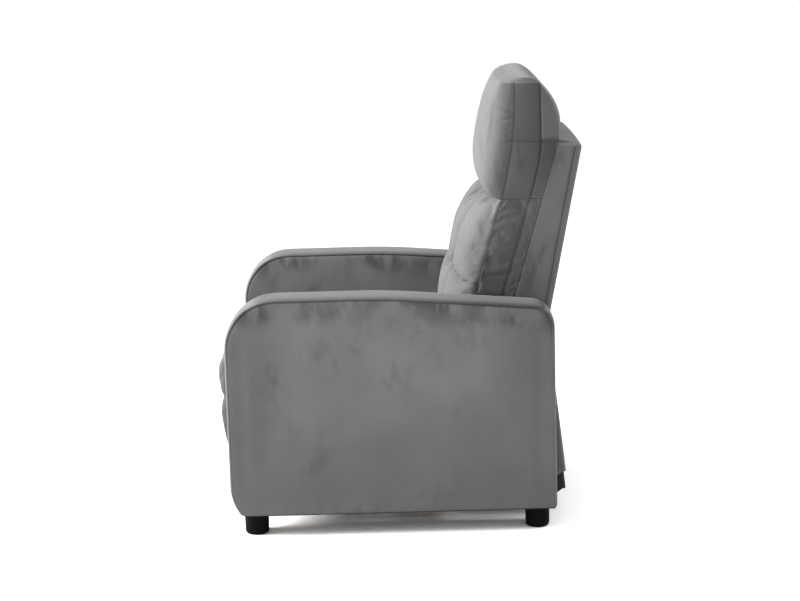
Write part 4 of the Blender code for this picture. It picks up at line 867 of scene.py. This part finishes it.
def footrest_shape(a, b, c):
    """Front: from the band's depth a sine swell to full depth; grooves at the seam and the band; flat rear.

    The top slopes down forwards, and its last millimetres reach back over the board.
    """
    z = FOOTREST_LOW + (FOOTREST_HIGH - FOOTREST_LOW) * (c + 1) / 2
    rise = np.clip((z - BAND_Z) / (0.6 * (FOOTREST_HIGH - BAND_Z)), 0.0, 1.0)
    front = BAND_FRONT - FOOTREST_SWELL * np.sin(rise * math.pi / 2)
    front += 0.008 * valley(z - CROSS_Z, 0.010) + 0.005 * valley(z - BAND_Z, 0.009)
    full = dome(a, 8) * np.where(c > 0, dome(c, 8), 1.0)
    front = FOOTREST_EDGE + (front - FOOTREST_EDGE) * full
    x = a * FOOTREST_HALF * (1 - 0.02 * np.abs(c) ** 8)
    z = z - TOP_SLOPE * (1 - b) / 2 * ((c + 1) / 2) ** 6
    rear = FOOTREST_REAR + LIP_REACH * smooth_step(z, LIP_LOW, LIP_HIGH)
    return np.stack([x, front + (rear - front) * (b + 1) / 2, z], axis=-1)


def footrest_seams(points):
    """How far each point is, in height, from the nearer of the cross seam and the band's seam."""
    return np.minimum(np.abs(points[:, 2] - CROSS_Z), np.abs(points[:, 2] - BAND_Z))


footrest = block("footrest_pad", footrest_shape, (97, 15, 89))
points = points_of(footrest)
on_seam = (footrest_seams(points) < 0.002) & (points[:, 1] < PAD_SEAM)
ends = (FOOTREST_HALF - np.abs(points[:, 0]) < 0.002) | (points[:, 2] < FOOTREST_LOW + 0.002)
fill(footrest, on_seam | (points[:, 1] > PAD_SIDE) | ends, np.full(len(points), PAD_SWELL), PAD_SLACK)
points = points_of(footrest)
note_points(footrest, "seam", 0.75 * valley(footrest_seams(points), 0.0018) * (points[:, 1] < PAD_SIDE))
# Painted shade darkens the pad towards its rounded sides.
note_points(footrest, "nap_and_shade", smooth_step(np.abs(points[:, 0]), 0.15, 0.225))
soften(footrest)
fit_piece(footrest, "footrest", "velvet", "footrest_cushion")

# %% [markdown]
# ## Upholstered shell
# Behind the cushions is a boxed shell of thin board in velvet with its nap brushed down, so it reads
# darker. It could be a box with its front taken out; here a section shaped like a U is carried up the back,
# rolls over at the top and runs forward as a lid to the headrest, so that its lean and its rolled edge come
# from one path. It is one sheet with a wall of 5 mm, open below, where the back's frame comes out.

# %% Shell surface
SHELL_LOW, SHELL_HIGH, SHELL_ROLL = 0.4505, 0.858, 0.012
LID_Y, LID_Z = 0.3712, 0.8765
SHELL_CORNER, SHELL_CROWN, SHELL_WALL = 0.015, 0.003, 0.005
# The wing's seam lies this far before the rear face.
SHELL_SEAM = 0.016


def shell_rear(z):
    """Rear face of the shell: a straight line up the back."""
    return 0.341 + (z - 0.45) * (0.4255 - 0.341) / (0.870 - 0.45)


def shell_section(z, shrink):
    """A U of fixed point count: left wing, rounded corner, crowned rear, corner and right wing."""
    half, front, rear = BACK_HALF - shrink, shell_line(z) + 0.0006, shell_rear(z) - shrink
    radius = SHELL_CORNER - 0.5 * shrink
    wing = np.linspace(front, rear - radius, 26)[:-1]
    angle = np.linspace(0, math.pi / 2, 9)
    width = half - radius
    corner = np.stack([width + radius * np.cos(angle), rear - radius + radius * np.sin(angle)], axis=-1)
    across = np.linspace(width, -width, 49)[1:-1]
    panel = np.stack([across, rear + SHELL_CROWN * (1 - (across / width) ** 2)], axis=-1)
    left = np.concatenate([np.stack([np.full(len(wing), half), wing], axis=-1), corner])
    right = left[::-1] * (-1, 1)
    return np.concatenate([left, panel, right])


def shell_surface():
    """Sections up the back, a rolled edge of quarter-circle form, and a lid ruled to the headrest's line."""
    path = [(z, 0.0, z) for z in np.linspace(SHELL_LOW, SHELL_HIGH, 60)]
    path += [(SHELL_HIGH, SHELL_ROLL * (1 - math.cos(angle)), SHELL_HIGH + SHELL_ROLL * math.sin(angle))
             for angle in np.linspace(0, math.pi / 2, 8)[1:]]
    rows = []
    for level, shrink, height in path:
        section = shell_section(level, shrink)
        rows.append(np.column_stack([section, np.full(len(section), height)]))
    rim = rows[-1]
    lid = np.column_stack([rim[:, 0], np.full(len(rim), LID_Y), np.full(len(rim), LID_Z)])
    rows += [rim + (lid - rim) * share for share in np.linspace(0, 1, 12)[1:]]
    return np.stack(rows)


shell = welded("rear_shell", [shell_surface()])
points = points_of(shell)
edge = np.abs(shell_rear(points[:, 2]) - points[:, 1] - SHELL_SEAM)
flank = (np.abs(points[:, 0]) > BACK_HALF - 0.004) & (points[:, 2] < SHELL_HIGH)
press(shell, 0.0018 * valley(edge, 0.0035) * flank)
note_points(shell, "seam", 0.7 * valley(edge, 0.0018) * flank)
note_points(shell, "nap_and_shade", 0.4 * (points[:, 2] < SHELL_HIGH + 0.006))
wall = shell.modifiers.new("wall", "SOLIDIFY")
wall.thickness = SHELL_WALL
wall.offset = -1.0
fit_piece(shell, "backrest", "shell_velvet", "back_shell")

# %% [markdown]
# ## Rear flap and its lining
# Below the shell hangs a loose velvet flap that hides the works. It swings from the shell's lower edge and
# flares at the hem in soft waves. Its side edges turn forwards and hang lower in front, as a cut corner
# does, and a strip of black lining shows below the hem. Cloth could be dropped from the shell's edge, but a
# flap this stiff keeps its line, so both are drawn as single sheets with a wall.

# %% Flap
FLAP_HALF, FLAP_TOP, HEM_Z = 0.2145, 0.4467, 0.1
FLAP_TOP_Y, HEM_Y = 0.338, 0.379
BEND_Y, BEND_Z = 0.361, 0.264
FLAP_FOLD, CORNER_DROP, HEM_STITCH_Z = 0.008, 0.012, 0.112


def flap_line(z):
    """A parabola from the shell's edge through a bend to the hem."""
    share = (FLAP_TOP - z) / (FLAP_TOP - HEM_Z)
    bend = (FLAP_TOP - BEND_Z) / (FLAP_TOP - HEM_Z)
    straight = FLAP_TOP_Y + (HEM_Y - FLAP_TOP_Y) * share
    middle = FLAP_TOP_Y + (HEM_Y - FLAP_TOP_Y) * bend
    return straight + (BEND_Y - middle) * share * (1 - share) / (bend * (1 - bend))


def hanging(name, top, low, inset, half, turn, waves, thick):
    """A sheet along the flap's line. Across it: a flat middle, a quarter-round fold, a side turned forwards.

    Two sines across it make the waves, which grow with the square of the drop.
    """
    middle = half - FLAP_FOLD
    flat = np.linspace(-middle, middle, 81)
    level = np.zeros(len(flat))
    angle = np.linspace(0, math.pi / 2, 9)[1:]
    side = np.linspace(0, 1, 10)[1:]
    edge = np.concatenate([middle + FLAP_FOLD * np.sin(angle), np.full(len(side), half)])
    folded = np.concatenate([FLAP_FOLD * (1 - np.cos(angle)), np.full(len(side), FLAP_FOLD)])
    forward = np.concatenate([np.zeros(len(angle)), side])
    x = np.concatenate([-edge[::-1], flat, edge])
    folded = np.concatenate([folded[::-1], level, folded])
    forward = np.concatenate([forward[::-1], level, forward])
    share = np.linspace(0, 1, 61)[:, None]
    drop = np.clip((FLAP_TOP - top + (top - low) * share) / (FLAP_TOP - HEM_Z), 0.0, 1.0)
    wave = waves * drop ** 2 * (np.sin(24 * x + 0.6) + 0.5 * np.sin(53 * x + 2.0))
    z = top + (low - top) * share - CORNER_DROP * forward * share ** 3
    y = flap_line(np.maximum(z, low)) - inset + wave - folded * drop - turn * forward * drop
    item = welded(name, [np.stack([np.broadcast_to(x, y.shape), y, z], axis=-1)])
    cloth = item.modifiers.new("cloth", "SOLIDIFY")
    cloth.thickness = thick
    cloth.offset = 0.0
    return item


flap = hanging("rear_flap_cloth", top=0.4485, low=HEM_Z, inset=0.0, half=FLAP_HALF, turn=0.018, waves=0.0022,
               thick=0.002)
points = points_of(flap)
note_points(flap, "seam", 0.5 * valley(points[:, 2] - HEM_STITCH_Z, 0.0018))
note_points(flap, "nap_and_shade", np.full(len(points), 0.2))
fit_piece(flap, "flap", "shell_velvet", "rear_flap")
strip = hanging("rear_flap_lining_strip", top=0.15, low=0.058, inset=0.0045, half=FLAP_HALF - 0.003,
                turn=0.016, waves=0.0018, thick=0.001)
fit_piece(strip, "flap", "lining", "rear_flap_lining")

# %% [markdown]
# ## Stage, light and camera
# A white floor and a bright surround stand for a plain studio. One large soft box before the chair gives the
# pale fronts of the cushions, and a weaker one behind it lights the lid and the rear edges. The camera looks
# down a little from the sitter's left with a long lens, its frame is shifted slightly and it is turned by
# about a degree and a half, as the chair leans in the picture.

# %% Stage
FLOOR_HALF, FLOOR_Z = 60, -0.0002
floor_line = np.linspace(-FLOOR_HALF, FLOOR_HALF, 5)
floor_x, floor_y = np.meshgrid(floor_line, floor_line, indexing="ij")
floor = welded("floor", [np.stack([floor_x, floor_y, np.full_like(floor_x, FLOOR_Z)], axis=-1)])
floor_look, floor_tree = new_material("matt white studio paint")
floor_paint = add(floor_tree, "ShaderNodeBsdfPrincipled", {"Base Color": linear("fdfdfd"), "Roughness": 0.9})
add(floor_tree, "ShaderNodeOutputMaterial", {"Surface": floor_paint.outputs["BSDF"]})
floor.data.materials.append(floor_look)

world = bpy.data.worlds.new("studio")
world.use_nodes = True
surround = world.node_tree.nodes["Background"]
surround.inputs["Color"].default_value = linear("ffffff")
surround.inputs["Strength"].default_value = 1.03
bpy.context.scene.world = world
print("floor of", 2 * FLOOR_HALF, "m and a white surround")

# %% Lights


def soft_box(name, place, target, size, power):
    """A square area light that faces a point: its tilt and turn are the angles of the line to it."""
    light = bpy.data.lights.new(name, "AREA")
    light.size = size
    light.energy = power
    item = bpy.data.objects.new(name, light)
    item.location = place
    x, y, z = np.array(target) - np.array(place)
    item.rotation_euler = (math.atan2(math.hypot(x, y), -z), 0.0, math.atan2(y, x) - math.pi / 2)
    bpy.context.scene.collection.objects.link(item)
    print(name, "of", power, "W")


soft_box("key soft box", (0.5, -3.2, 1.8), (0.0, 0.0, 0.6), 1.6, 390)
soft_box("rim soft box", (0.1, 2.4, 2.6), (0.0, 0.35, 0.7), 1.0, 50)

# %% Camera
LOOK_DOWN, LOOK_ASIDE, ROLL = math.radians(9.966), math.radians(0.193), math.radians(-1.63)
QUARTER = math.pi / 2
camera = bpy.data.objects.new("camera", bpy.data.cameras.new("camera"))
camera.data.sensor_width = 36.0
camera.data.lens = 83.7
camera.data.shift_y = -0.06
camera.location = (4.3854, 0.0214, 1.36)
camera.rotation_mode = "XYZ"
camera.rotation_euler = (QUARTER - LOOK_DOWN, 0.0, QUARTER + LOOK_ASIDE)
camera.rotation_euler.rotate_axis("Z", ROLL)
bpy.context.scene.collection.objects.link(camera)
bpy.context.scene.camera = camera
bpy.context.scene.view_settings.view_transform = "Standard"
print("camera at", [round(value, 3) for value in camera.location])
